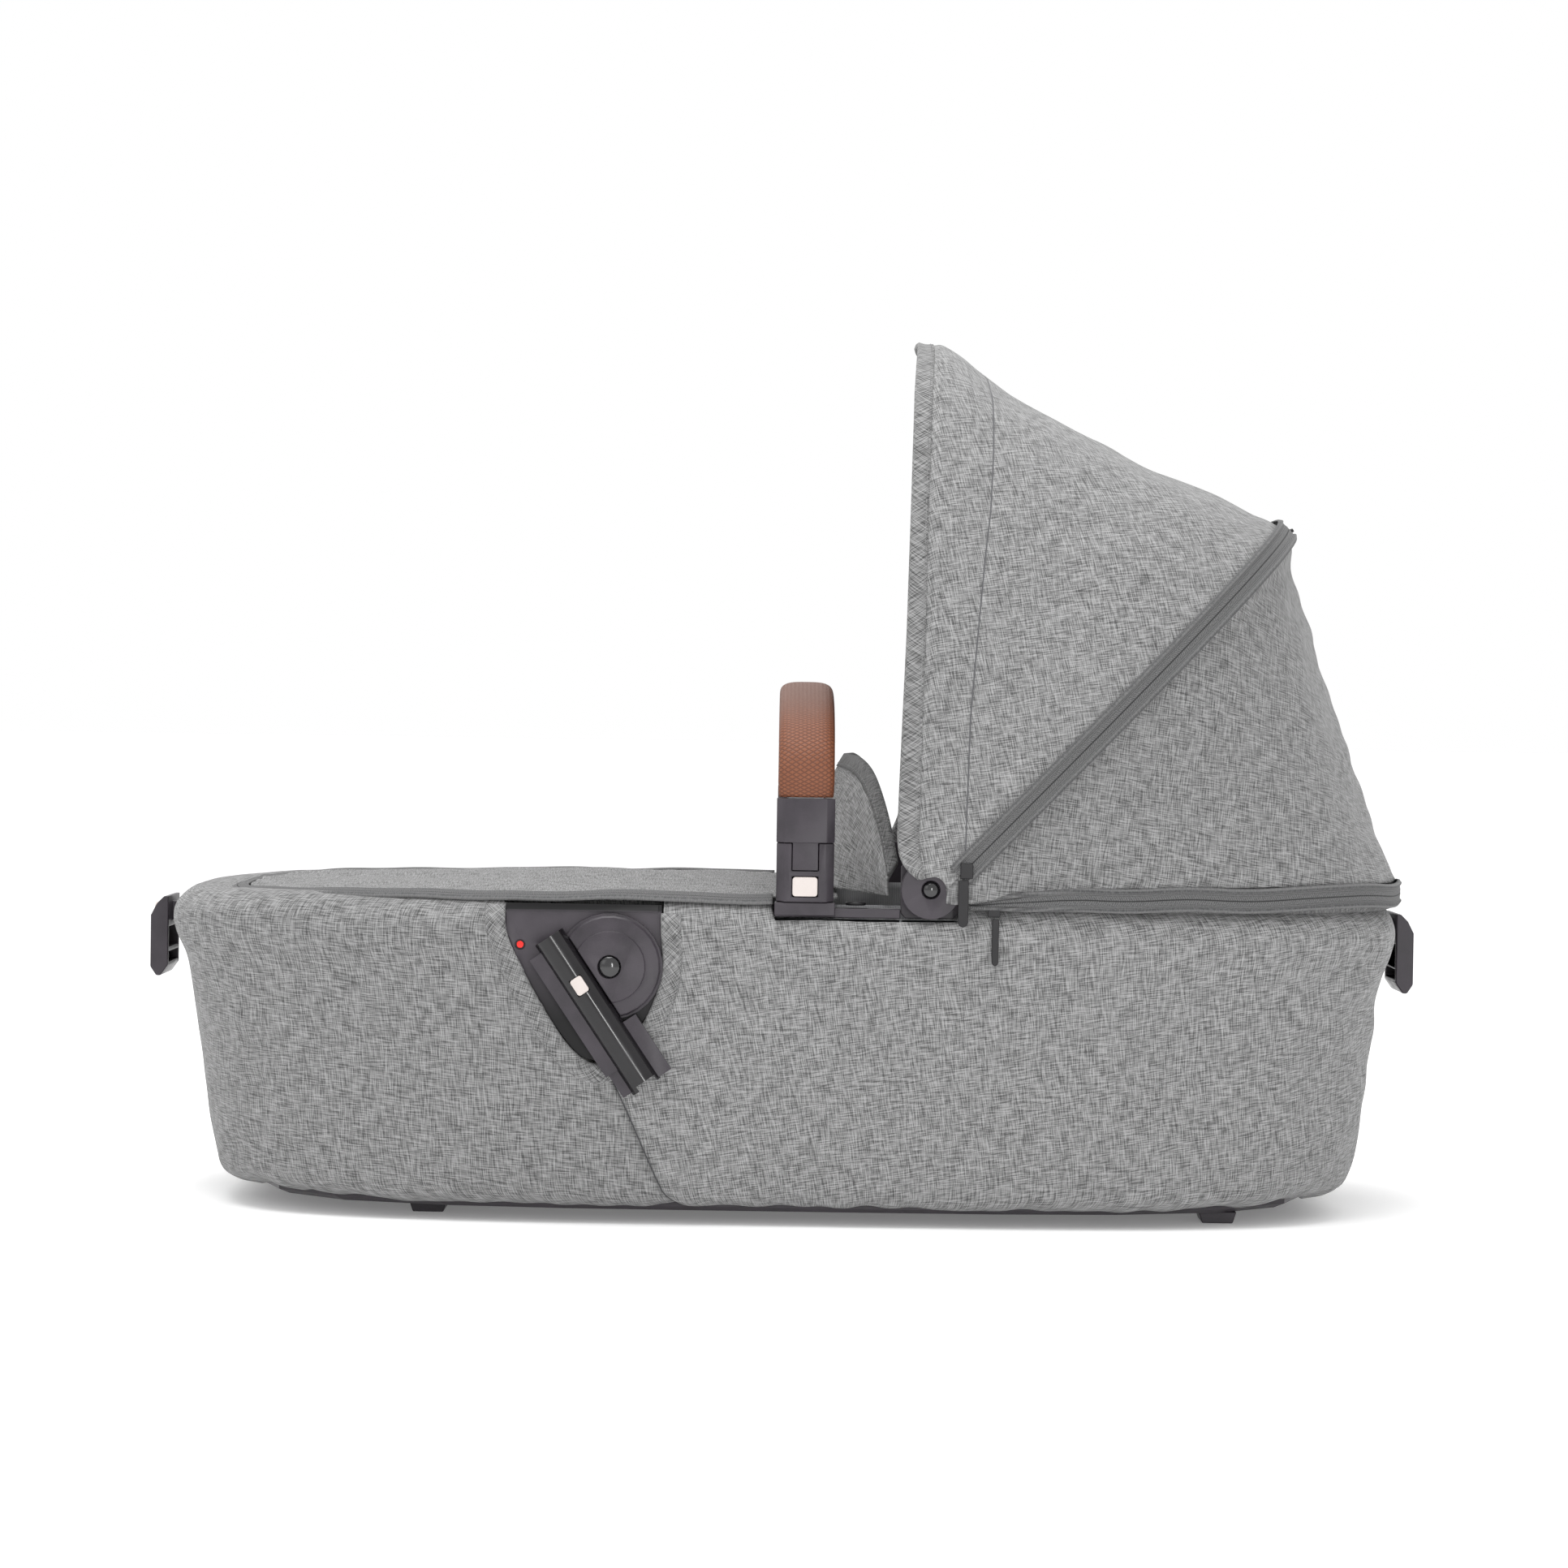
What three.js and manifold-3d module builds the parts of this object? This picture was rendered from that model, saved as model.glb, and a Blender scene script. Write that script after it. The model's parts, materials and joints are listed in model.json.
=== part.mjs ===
// A stroller carrycot: a soft tub hung from a rim frame, with a folding canopy, a zipped apron,
// a lift-out carry handle and a swivelling chassis adapter on each side.
// Millimetres, +Z up. The head end points along +X, and the cot stands on its feet at Z = 0.
// "right" is the -Y side and "left" is the +Y side, as seen from the foot end.
import * as THREE from "three";
import { mergeVertices } from "three/addons/utils/BufferGeometryUtils.js";
import Module from "manifold-3d";

// ---- driving dimensions ----
const GAP = 0.3; // clearance between pieces that touch
const RIM = { halfLength: 410.5, halfWidth: 213, centreX: 2.5, exponent: 3.8 };
const RING_POINTS = 32;
const RIM_TUBE = { radius: 8, endInset: 18.5, sideInset: 17.5, z: 191 };
const COVER_THICKNESS = 2.6;
const GRIP = { outerX: 429.6, thickness: 12.5, width: 56, top: 199, bottom: 145 };
const FOOT = { top: 25, bottom: 20, depth: 30, height: 7.6, y: 125, x: [-229, 288] };

const ADAPTER = { x: -109.5, z: 167, tilt: 56, discRadius: 34, plateFront: 208 };
const ARM = { width: 38.7, tubeAcross: 19.3, tubeEdge: 29.9, pivotAcross: 41.2 };
const ARM_TUBE = { radius: 10.5, channelRadius: 8 };
const ARM_ALONG = { pivot: 37.1, shortFlange: 94.9, end: 114 };

const HANDLE = { x: 14.3, legY: 205, crestZ: 351, sleeveTop: 276, socketTop: 247.6, socketBottom: 210 };
const HANDLE_SECTION = { width: 36, thickness: 20 };
const HINGE = { x: 94.5, z: 219, discRadius: 19, pinRadius: 4 };
const HOOP = { width: 10, thickness: 3, exponent: 3 };
const FRONT_HOOP = { angle: 89, height: 350.5, halfWidth: 208.6 };
const MID_HOOP = { angle: 44.8, height: 335, halfWidth: 205 };
const CANOPY = { halfWidth: 215.2, frontHeight: 356, midHeight: 341, thickness: 2.2, hubClear: 24 };
const FLAP = { top: 302, cornerZ: 234, footZ: 219.5, halfWidth: 184, thickness: 2.4 };

// ---- materials ----
const paint = (color, roughness, metalness = 0) =>
  new THREE.MeshStandardMaterial({ color, roughness, metalness });
const fabric = () => paint("#989898", 0.95);
const darkFabric = () => paint("#7c7c7c", 0.95);
const zipTape = () => paint("#6f6f6f", 0.85);
const plastic = () => paint("#38353a", 0.5);
const glossPlastic = () => paint("#111113", 0.15);
const buttonPlastic = () => paint("#f0eae7", 0.4);
const redPlastic = () => paint("#e02a28", 0.4);
const leatherette = () => paint("#8d5a3f", 0.6);
const steel = () => paint("#b5b7ba", 0.35, 0.9);
const aluminium = () => paint("#9da0a4", 0.4, 0.9);
const board = () => paint("#d9d9d6", 0.8);

// ---- solids ----
const wasm = await Module();
wasm.setup();

const toSolid = (geometry) => {
  const bare = geometry.clone();
  bare.deleteAttribute("normal");
  bare.deleteAttribute("uv");
  const merged = mergeVertices(bare, 1e-4);
  return new wasm.Manifold(
    new wasm.Mesh({
      numProp: 3,
      vertProperties: new Float32Array(merged.getAttribute("position").array),
      triVerts: new Uint32Array(merged.index.array),
    }),
  );
};

const toGeometry = (solid) => {
  const { vertProperties, triVerts } = solid.getMesh();
  const geometry = new THREE.BufferGeometry();
  geometry.setAttribute("position", new THREE.BufferAttribute(vertProperties, 3));
  geometry.setIndex(new THREE.BufferAttribute(triVerts, 1));
  geometry.computeVertexNormals();
  return geometry;
};

const join = (first, ...others) =>
  toGeometry(others.reduce((sum, other) => sum.add(toSolid(other)), toSolid(first)));
const cut = (first, ...others) =>
  toGeometry(others.reduce((rest, other) => rest.subtract(toSolid(other)), toSolid(first)));
const common = (first, second) => toGeometry(toSolid(first).intersect(toSolid(second)));

// A box between two corners.
function box([x0, y0, z0], [x1, y1, z1]) {
  const geometry = new THREE.BoxGeometry(x1 - x0, y1 - y0, z1 - z0);
  return geometry.translate((x0 + x1) / 2, (y0 + y1) / 2, (z0 + z1) / 2);
}

// A round bar along Y, from y0 to y1.
function barAlongY(radius, y0, y1, x = 0, z = 0, sides = 24, endRadius = radius) {
  const geometry = new THREE.CylinderGeometry(endRadius, radius, y1 - y0, sides);
  return geometry.translate(x, (y0 + y1) / 2, z);
}

// An outline drawn in X and Z, made solid from y0 to y1.
function slabAlongY(points, y0, y1) {
  const shape = new THREE.Shape(points.map(([x, z]) => new THREE.Vector2(x, z)));
  const geometry = new THREE.ExtrudeGeometry(shape, { depth: y1 - y0, bevelEnabled: false });
  return geometry.rotateX(Math.PI / 2).translate(0, y1, 0);
}

// A rectangle with its corners cut off, as a list of points.
function chamferedRectangle(x0, y0, x1, y1, c) {
  return [
    [x0 + c, y0], [x1 - c, y0], [x1, y0 + c], [x1, y1 - c],
    [x1 - c, y1], [x0 + c, y1], [x0, y1 - c], [x0, y0 + c],
  ];
}

// Rings of points joined into one closed surface. A closed profile joins the last ring to the first,
// and an open one gets a fan over each end.
function loft(rings, { closedProfile = false } = {}) {
  const count = rings[0].length;
  const points = rings.flat();
  const index = [];
  const steps = closedProfile ? rings.length : rings.length - 1;
  for (let r = 0; r < steps; r++) {
    for (let i = 0; i < count; i++) {
      const a = r * count + i;
      const b = r * count + ((i + 1) % count);
      const c = ((r + 1) % rings.length) * count + i;
      const d = ((r + 1) % rings.length) * count + ((i + 1) % count);
      index.push(a, b, c, b, d, c);
    }
  }
  if (!closedProfile) {
    for (const [ring, flip] of [[0, true], [rings.length - 1, false]]) {
      const centre = new THREE.Vector3();
      rings[ring].forEach((p) => centre.addScaledVector(p, 1 / count));
      points.push(centre);
      for (let i = 0; i < count; i++) {
        const a = ring * count + i;
        const b = ring * count + ((i + 1) % count);
        index.push(...(flip ? [points.length - 1, b, a] : [points.length - 1, a, b]));
      }
    }
  }
  return closedSurface(points, index);
}

// A grid of points given a thickness: rows of equal length, with an outer and an inner copy.
function sheet(outer, inner) {
  const rows = outer.length;
  const columns = outer[0].length;
  const points = [...outer.flat(), ...inner.flat()];
  const offset = rows * columns;
  const index = [];
  const quad = (a, b, c, d) => index.push(a, b, c, b, d, c);
  for (let r = 0; r < rows - 1; r++) {
    for (let c = 0; c < columns - 1; c++) {
      const a = r * columns + c;
      quad(a, a + 1, a + columns, a + columns + 1);
      quad(offset + a + 1, offset + a, offset + a + columns + 1, offset + a + columns);
    }
    const left = r * columns;
    const right = left + columns - 1;
    quad(left, left + columns, offset + left, offset + left + columns);
    quad(right + columns, right, offset + right + columns, offset + right);
  }
  for (let c = 0; c < columns - 1; c++) {
    const top = (rows - 1) * columns + c;
    quad(c + 1, c, offset + c + 1, offset + c);
    quad(top, top + 1, offset + top, offset + top + 1);
  }
  return closedSurface(points, index);
}

// Points and triangles as a geometry whose faces point outwards.
function closedSurface(points, index) {
  const volume = index.reduce((sum, _, i) => {
    if (i % 3) return sum;
    const [a, b, c] = [points[index[i]], points[index[i + 1]], points[index[i + 2]]];
    return sum + a.dot(b.clone().cross(c));
  }, 0);
  if (volume < 0) index.reverse();
  const geometry = new THREE.BufferGeometry().setFromPoints(points);
  geometry.setIndex(index);
  geometry.computeVertexNormals();
  return geometry;
}

// ---- the scene graph ----
const carrycot = new THREE.Group();
const named = (parent, name, geometry, material) => {
  const mesh = new THREE.Mesh(geometry, material);
  mesh.name = name;
  parent.add(mesh);
};

// ---- plan of the tub ----

// A point of the curve |x|^n + |y|^n = 1 in the direction of the angle.
function superellipse(angle, exponent) {
  const [x, y] = [Math.cos(angle), Math.sin(angle)];
  const radius = (Math.abs(x) ** exponent + Math.abs(y) ** exponent) ** (-1 / exponent);
  return [radius * x, radius * y];
}

// A level loop of the tub, set in from the rim by one amount at the ends and another at the sides.
function planRing(endInset, sideInset, z) {
  return Array.from({ length: RING_POINTS }, (_, i) => {
    const [x, y] = superellipse((i / RING_POINTS) * 2 * Math.PI, RIM.exponent);
    const [halfLength, halfWidth] = [RIM.halfLength - endInset, RIM.halfWidth - sideInset];
    return new THREE.Vector3(RIM.centreX + halfLength * x, halfWidth * y, z);
  });
}
const planLoft = (profile, options) => loft(profile.map((row) => planRing(...row)), options);

// Outer wall of the cover from its lower edge over the rim roll to the inner edge:
// inset at the ends, inset at the sides, height.
const WALL = [
  [56, 26, 11], [40, 18, 15], [31, 14, 23], [25, 12, 50], [18, 9, 106], [13, 7, 133], [9, 4, 161],
  [2, 1, 178], [0, 0, 190], [3, 2, 200], [10, 8, 207], [20, 17, 211], [30, 26, 208], [36, 31, 198],
  [38, 33, 182],
];

// The same wall seen from inside the cloth: each point moved square to the wall by the thickness.
function insideOf(profile, thickness) {
  return profile.map(([end, side, z], i) => {
    const before = profile[Math.max(i - 1, 0)];
    const after = profile[Math.min(i + 1, profile.length - 1)];
    const run = after[0] - before[0];
    const rise = after[2] - before[2];
    const length = Math.hypot(run, rise);
    const inward = (thickness * rise) / length;
    return [end + inward, side + inward, z - (thickness * run) / length];
  });
}

// Window in the cover's side that shows the adapter plate, as X and Z.
const WINDOW = [
  [-177.5, 216], [-177.5, 190], [-168, 167], [-145, 127], [-129, 107], [-114, 103], [-98, 113],
  [-81, 140], [-74.4, 166], [-75.5, 216],
];
const HARDWARE_STRETCH = [-6, 113]; // X span where the rim's plastic is bare

function coverHalves() {
  const inside = insideOf(WALL, COVER_THICKNESS).reverse();
  const outer = RIM.halfWidth + 20;
  const whole = cut(
    planLoft([...WALL, ...inside], { closedProfile: true }),
    slabAlongY(WINDOW, -outer, -200),
    slabAlongY(WINDOW, 200, outer),
    box([HARDWARE_STRETCH[0], -outer, 199.8], [HARDWARE_STRETCH[1], -150, 220]),
    box([HARDWARE_STRETCH[0], 150, 199.8], [HARDWARE_STRETCH[1], outer, 220]),
    box([-450, -11, 180], [-395, 11, 197]),
    box([395, -11, 180], [450, 11, 197]),
  );
  // The side seam slopes from the window down to the base.
  const seamX = (z) => -105 + (78 - z) * 0.43;
  const footSide = (shift) =>
    slabAlongY([[-500, -10], [seamX(-10) + shift, -10], [seamX(230) + shift, 230], [-500, 230]], -300, 300);
  const foot = common(whole, footSide(-GAP / 2));
  const head = cut(whole, footSide(GAP / 2));
  return { foot, head };
}

function rimTube() {
  const sides = 10;
  const profile = Array.from({ length: sides }, (_, i) => {
    const angle = (i / sides) * 2 * Math.PI;
    const out = RIM_TUBE.radius * Math.cos(angle);
    const up = RIM_TUBE.radius * Math.sin(angle);
    return [RIM_TUBE.endInset - out, RIM_TUBE.sideInset - out, RIM_TUBE.z + up];
  });
  return planLoft(profile, { closedProfile: true });
}

// Stiff board that stands in the wall between the cover and the lining.
const wallStiffener = () =>
  planLoft([[42, 25, 36], [30.5, 20, 60], [30.5, 20, 174], [32.5, 22, 174], [32.5, 22, 60], [44, 27, 36]], {
    closedProfile: true,
  });

// Inner cloth: a bag with a floor, open at the top.
const lining = () =>
  planLoft([
    [54, 48, 37], [46, 40, 44], [42, 37, 120], [41, 36, 203], [43.4, 38.4, 203], [44.4, 39.4, 120],
    [48.4, 42.4, 45], [56, 50, 39.4],
  ]);

const mattress = () =>
  planLoft([[62, 56, 40], [54, 48, 46], [53, 47, 62], [60, 54, 70], [120, 90, 73]]);

// Shallow plastic dish under the cot, with its upturned edge inside the cover.
const baseTray = () =>
  planLoft([
    [68, 35, 8], [61, 30.5, 11], [61, 30.5, 15], [46.5, 23, 18.5], [38, 20, 26], [37.5, 19.5, 34.5],
    [40, 22, 34.5], [40.5, 22.5, 27], [49, 26, 21.5], [64, 34, 15], [82, 48, 12],
  ]);

function foot() {
  const [t, b, h] = [FOOT.top / 2, FOOT.bottom / 2, FOOT.height];
  return slabAlongY([[-b, 0], [b, 0], [t, h], [-t, h]], -FOOT.depth / 2, FOOT.depth / 2);
}

// ---- apron ----
function apron() {
  const whole = planLoft([
    [110, 100, 216.5], [60, 55, 214.6], [19, 16, 212.1], [19, 16, 214.3], [60, 55, 216.9],
    [110, 100, 218.8],
  ]);
  return cut(
    common(whole, box([-420, -220, 200], [36, 220, 230])),
    box([-6.5, -230, 200], [50, -191, 230]),
    box([-6.5, 191, 200], [50, 230, 230]),
  );
}

// Zip tape round the foot end, on the outer shoulder of the rim roll.
const apronZip = () =>
  common(
    planLoft([[9.4, 7.4, 209], [18.3, 15.3, 212.6], [18, 15, 214.4], [8.4, 6.4, 210.7]], {
      closedProfile: true,
    }),
    box([-420, -230, 200], [-7, 230, 230]),
  );

// Wind flap: its foot crosses the cot behind the handle, and its hem is an arch that leans to the foot.
function flap() {
  const columns = 17;
  const rows = 4;
  const surface = (shift) =>
    Array.from({ length: rows }, (_, r) =>
      Array.from({ length: columns }, (_, c) => {
        const across = (2 * c) / (columns - 1) - 1;
        const up = r / (rows - 1);
        const edge = Math.abs(across);
        const hemX = 43 + 30 * edge ** 1.6;
        const hemZ = FLAP.cornerZ + (FLAP.top - FLAP.cornerZ) * (1 - edge ** 2.6);
        const footX = 37 + 16 * edge ** 3;
        const belly = 5 * Math.sin(Math.PI * up);
        return new THREE.Vector3(
          footX + (hemX - footX) * up + belly + shift,
          across * (FLAP.halfWidth - 6 * up),
          FLAP.footZ + (hemZ - FLAP.footZ) * up,
        );
      }),
    );
  return sheet(surface(FLAP.thickness), surface(0));
}

// ---- end grips ----
// Seen from the side: an outline with a sloping shoulder, hollow towards the cot, with one rib.
function endGrip() {
  const [outer, inner] = [GRIP.outerX - 0.6, GRIP.outerX - GRIP.thickness];
  const half = GRIP.width / 2;
  const outline = [
    [inner, GRIP.bottom + 7], [inner + 5, GRIP.bottom], [outer - 4, GRIP.bottom], [outer, GRIP.bottom + 6],
    [outer, 186], [outer - 4, 194], [outer - 9, GRIP.top], [inner, GRIP.top],
  ];
  const plate = slabAlongY(outline, -half, half);
  const lowerPocket = box([inner - 1, -half + 5, GRIP.bottom + 9], [inner + 7, half - 5, 161]);
  const upperPocket = box([inner - 1, -half + 5, 164], [inner + 7, half - 5, 178]);
  const stem = box([inner - 14, -8, 182], [inner + 1, 8, 195]);
  return join(cut(plate, lowerPocket, upperPocket), stem);
}

const BUTTON = { radius: 4.5, z: 189.5 };

// Round push button in the foot-end grip's shoulder, and the bore that it slides in.
function buttonAlongX(radius, x0, x1) {
  return new THREE.CylinderGeometry(radius, radius, x1 - x0, 20)
    .rotateZ(Math.PI / 2)
    .translate((x0 + x1) / 2, 0, BUTTON.z);
}

// ---- springs ----
class Helix extends THREE.Curve {
  constructor(radius, height, turns) {
    super();
    Object.assign(this, { radius, height, turns });
  }
  getPoint(t, target = new THREE.Vector3()) {
    const angle = t * this.turns * 2 * Math.PI;
    return target.set(this.radius * Math.cos(angle), this.radius * Math.sin(angle), t * this.height);
  }
}

// A coil of wire standing on the XY plane. Its turns stay clear of each other.
function spring(radius, height, turns, wire) {
  const section = new THREE.Shape(
    Array.from({ length: 5 }, (_, i) => {
      const angle = (i / 5) * 2 * Math.PI;
      return new THREE.Vector2(wire * Math.cos(angle), wire * Math.sin(angle));
    }),
  );
  return new THREE.ExtrudeGeometry(section, {
    steps: Math.round(turns * 8),
    extrudePath: new Helix(radius, height - 2 * wire, turns),
    bevelEnabled: false,
  }).translate(0, 0, wire);
}

// ---- adapters, drawn for the right side ----
const PLATE_BACK = ADAPTER.plateFront - 3;

function adapterPlate() {
  const [midX, midZ] = [-127, 170];
  const outline = WINDOW.map(([x, z]) => [
    midX + (x - midX) * 0.975,
    Math.min(midZ + (z - midZ) * 0.965, 206.5),
  ]);
  const front = -ADAPTER.plateFront;
  const plate = slabAlongY(outline, front, -PLATE_BACK);
  const ledge = slabAlongY(
    [[-175.5, 201.8], [-79, 201.8], [-79, 206.5], [-175.5, 206.5]],
    front - 1.6,
    front + 0.5,
  );
  const bracket = box([-165, -PLATE_BACK - 0.5, 168], [-92, -197, 180]);
  return cut(
    join(plate, ledge, bracket),
    barAlongY(HINGE.pinRadius + 0.4, front - 5, -190, ADAPTER.x, ADAPTER.z),
    barAlongY(INDICATOR.recess, front - 1, front + 2.5, INDICATOR.x, INDICATOR.z),
  );
}

const INDICATOR = { x: -167, z: 180, recess: 3.4, radius: 2.3 };
const indicator = () =>
  barAlongY(
    INDICATOR.radius, -ADAPTER.plateFront + 0.2, -ADAPTER.plateFront + 2.5 - GAP,
    INDICATOR.x, INDICATOR.z, 16,
  );

// A group whose X runs across the arm, Y up along it, and Z outwards, centred on the pivot.
function adapterFrame(depth) {
  const group = new THREE.Group();
  const tilt = THREE.MathUtils.degToRad(ADAPTER.tilt);
  const across = new THREE.Vector3(Math.sin(tilt), 0, Math.cos(tilt));
  const along = new THREE.Vector3(-Math.cos(tilt), 0, Math.sin(tilt));
  const out = new THREE.Vector3(0, -1, 0);
  group.setRotationFromMatrix(new THREE.Matrix4().makeBasis(across, along, out));
  group.position.set(ADAPTER.x, -depth, ADAPTER.z);
  return group;
}
const acrossAt = (value) => value - ARM.pivotAcross;
const alongAt = (value) => ARM_ALONG.pivot - value;
const disc = (radius, z0, z1, topRadius = radius, sides = 28) =>
  new THREE.CylinderGeometry(topRadius, radius, z1 - z0, sides)
    .rotateX(Math.PI / 2)
    .translate(0, 0, (z0 + z1) / 2);

const HUB = { low: GAP, step: 5.8, face: 9.6, top: 8.4, innerRadius: 22.5, bore: 4.4, dome: 7.6 };

// The turning disc: full under the arm, and raised beside it.
function adapterHub() {
  const raised = join(
    disc(ADAPTER.discRadius - 1, HUB.step - 1, HUB.top, ADAPTER.discRadius - 2.5),
    disc(HUB.innerRadius + 1, HUB.top - 1, HUB.face, HUB.innerRadius),
  );
  const armSide = box(
    [-60, -60, HUB.step],
    [acrossAt(ARM.tubeEdge) + GAP, 60, 20],
  );
  return cut(
    join(disc(ADAPTER.discRadius, HUB.low, HUB.step), cut(raised, armSide)),
    disc(HUB.bore, -5, 20, HUB.bore, 24),
    disc(HUB.dome, HUB.face - 2.2, 20, HUB.dome, 24),
  );
}

// Dome-headed rivet through the hub and the plate.
function adapterRivet() {
  const head = new THREE.SphereGeometry(7.2, 20, 10).scale(1, 1, 0.42).translate(0, 0, HUB.face - 1.6);
  const upper = box([-10, -10, HUB.face - 1.8], [10, 10, 20]);
  return join(common(head, upper), disc(4, -6, HUB.face - 1.2, 4, 24));
}

const ARM_BASE = HUB.step + GAP; // the arm lies on the hub's lower step
const ARM_BUTTON = { along: 36.6, width: 8.2, length: 11.3, low: 4.6, high: 11.4, travel: 2.5 };

// Half-round tube with a flange on each side. The channel under the tube takes the chassis post.
function adapterArm() {
  const [left, right] = [acrossAt(0), acrossAt(ARM.width)];
  const middle = acrossAt(ARM.tubeAcross);
  const [top, low] = [alongAt(0), alongAt(ARM_ALONG.end)];
  const flangeEnd = alongAt(ARM_ALONG.shortFlange);
  const body = join(
    disc(ARM_TUBE.radius, 0, top - low, ARM_TUBE.radius, 28)
      .rotateX(-Math.PI / 2)
      .translate(middle, low, 0),
    box([left + 1, flangeEnd, 0], [middle, top - 6, 4.4]),
    box([left + 3, low + 2, 0], [middle - 5, flangeEnd + 1, 3]),
    box([middle, low + 1, 0], [right, -ADAPTER.discRadius - GAP, 3.2]),
  );
  const channel = disc(ARM_TUBE.channelRadius, 0, top - low, ARM_TUBE.channelRadius, 24)
    .rotateX(-Math.PI / 2)
    .translate(middle, low - 3, 0);
  const notch = box([acrossAt(14), low - 1, 2], [acrossAt(28), low + 4, 20]);
  const buttonHole = box(
    [middle - ARM_BUTTON.width / 2 - GAP, alongAt(ARM_BUTTON.along) - ARM_BUTTON.length / 2 - GAP, 0],
    [middle + ARM_BUTTON.width / 2 + GAP, alongAt(ARM_BUTTON.along) + ARM_BUTTON.length / 2 + GAP, 20],
  );
  const behind = box([-80, -100, -30], [40, 80, 0]);
  return cut(body, channel, notch, buttonHole, behind);
}

function adapterButton() {
  const { width, length, low, high, along } = ARM_BUTTON;
  const shape = new THREE.Shape(
    chamferedRectangle(-width / 2, -length / 2, width / 2, length / 2, 1)
      .map((p) => new THREE.Vector2(...p)),
  );
  return new THREE.ExtrudeGeometry(shape, { depth: high - low, bevelEnabled: false }).translate(
    acrossAt(ARM.tubeAcross), alongAt(along), low,
  );
}

function addAdapter(parent, side) {
  named(parent, "adapter_plate_" + side, adapterPlate(), plastic());
  named(parent, "lock_indicator_" + side, indicator(), redPlastic());
  const hub = adapterFrame(ADAPTER.plateFront);
  named(hub, "adapter_hub_" + side, adapterHub(), plastic());
  named(hub, "adapter_rivet_" + side, adapterRivet(), glossPlastic());
  const arm = adapterFrame(ADAPTER.plateFront + ARM_BASE);
  named(arm, "adapter_arm_" + side, adapterArm(), plastic());
  named(arm, "adapter_button_" + side, adapterButton(), buttonPlastic());
  const coil = spring(2.6, 1.8, 1.4, 0.35).translate(
    acrossAt(ARM.tubeAcross), alongAt(ARM_BUTTON.along), 0.1,
  );
  named(arm, "adapter_spring_" + side, coil, steel());
  parent.add(hub, arm);
}

// ---- handle fittings, drawn for the right side ----
const SOCKET = { halfWidth: 18.4, back: 194, front: 216, chamfer: 5, slotHalf: 8.6 };
const HANDLE_BUTTON = { width: 16, height: 12.4, z: 219.8, back: 208, front: 216.4, travel: 3 };

// A post with chamfered upright corners.
function post(x0, x1, y0, y1, z0, z1, chamfer) {
  const shape = new THREE.Shape(
    chamferedRectangle(x0, y0, x1, y1, chamfer).map((p) => new THREE.Vector2(...p)),
  );
  return new THREE.ExtrudeGeometry(shape, { depth: z1 - z0, bevelEnabled: false }).translate(0, 0, z0);
}

function handleSocket() {
  const { halfWidth, back, front, chamfer, slotHalf } = SOCKET;
  const body = post(
    HANDLE.x - halfWidth, HANDLE.x + halfWidth, -front, -back,
    HANDLE.socketBottom, HANDLE.socketTop, chamfer,
  );
  const slot = box([HANDLE.x - slotHalf, -front - 1, 229.7], [HANDLE.x + slotHalf, -back - 4, 260]);
  const { width, height, z } = HANDLE_BUTTON;
  const hole = box(
    [HANDLE.x - width / 2 - GAP, -front - 1, z - height / 2 - GAP],
    [HANDLE.x + width / 2 + GAP, -back - 5, z + height / 2 + GAP],
  );
  return cut(body, slot, hole);
}

function handleButton() {
  const { width, height, z, back, front } = HANDLE_BUTTON;
  const outline = chamferedRectangle(-width / 2, -height / 2, width / 2, height / 2, 1.2);
  return slabAlongY(outline.map(([x, dz]) => [HANDLE.x + x, z + dz]), -front, -back);
}

const RAIL = { x: [-5, 75.3], back: 195, front: 209.5, bottom: 200.1, top: 206, pad: 209.7 };

// Plastic rail on the rim between the handle and the canopy hinge, with a pad under the socket.
function rimRail() {
  const { x, back, front, bottom, top, pad } = RAIL;
  return join(
    box([x[0], -front, bottom], [x[1], -back, top]),
    box([x[0], -front - 5.5, 201.5], [33.5, -back, pad]),
  );
}

function addHandleFittings(parent, side) {
  named(parent, "rim_rail_" + side, rimRail(), plastic());
  named(parent, "handle_socket_" + side, handleSocket(), plastic());
  named(parent, "handle_button_" + side, handleButton(), buttonPlastic());
  const coil = spring(3.4, 4, 2.6, 0.5)
    .rotateX(Math.PI / 2)
    .translate(HANDLE.x, -SOCKET.back - 5 - GAP, HANDLE_BUTTON.z);
  named(parent, "handle_spring_" + side, coil, steel());
}

// ---- carry handle ----
// The handle's centre line in Y and Z, from the right leg at footZ over the crest to the left leg.
function handleLine(footZ) {
  const [shoulderZ, steps] = [286, 20];
  const topZ = HANDLE.crestZ - HANDLE_SECTION.thickness / 2;
  const arch = Array.from({ length: steps + 1 }, (_, i) => {
    const [y, rise] = superellipse((i / steps) * Math.PI, 2.6);
    return [-HANDLE.legY * y, shoulderZ + (topZ - shoulderZ) * rise];
  });
  return [[-HANDLE.legY, footZ], ...arch, [HANDLE.legY, footZ]];
}

// A section carried along a line in the YZ plane. Each corner is [outwards, along X].
function sweep(section, line) {
  const rings = line.map(([y, z], i) => {
    const [y0, z0] = line[Math.max(i - 1, 0)];
    const [y1, z1] = line[Math.min(i + 1, line.length - 1)];
    const length = Math.hypot(y1 - y0, z1 - z0);
    const [outY, outZ] = [-(z1 - z0) / length, (y1 - y0) / length];
    return section.map(([out, x]) => new THREE.Vector3(x, y + out * outY, z + out * outZ));
  });
  return loft(rings);
}

const STRIP = { thickness: 6, width: 24, footZ: 258 };

// A rectangle centred on the line, with its corners cut off.
const bandSection = (thickness, width, chamfer) =>
  chamferedRectangle(-thickness / 2, -width / 2, thickness / 2, width / 2, chamfer);

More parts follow.
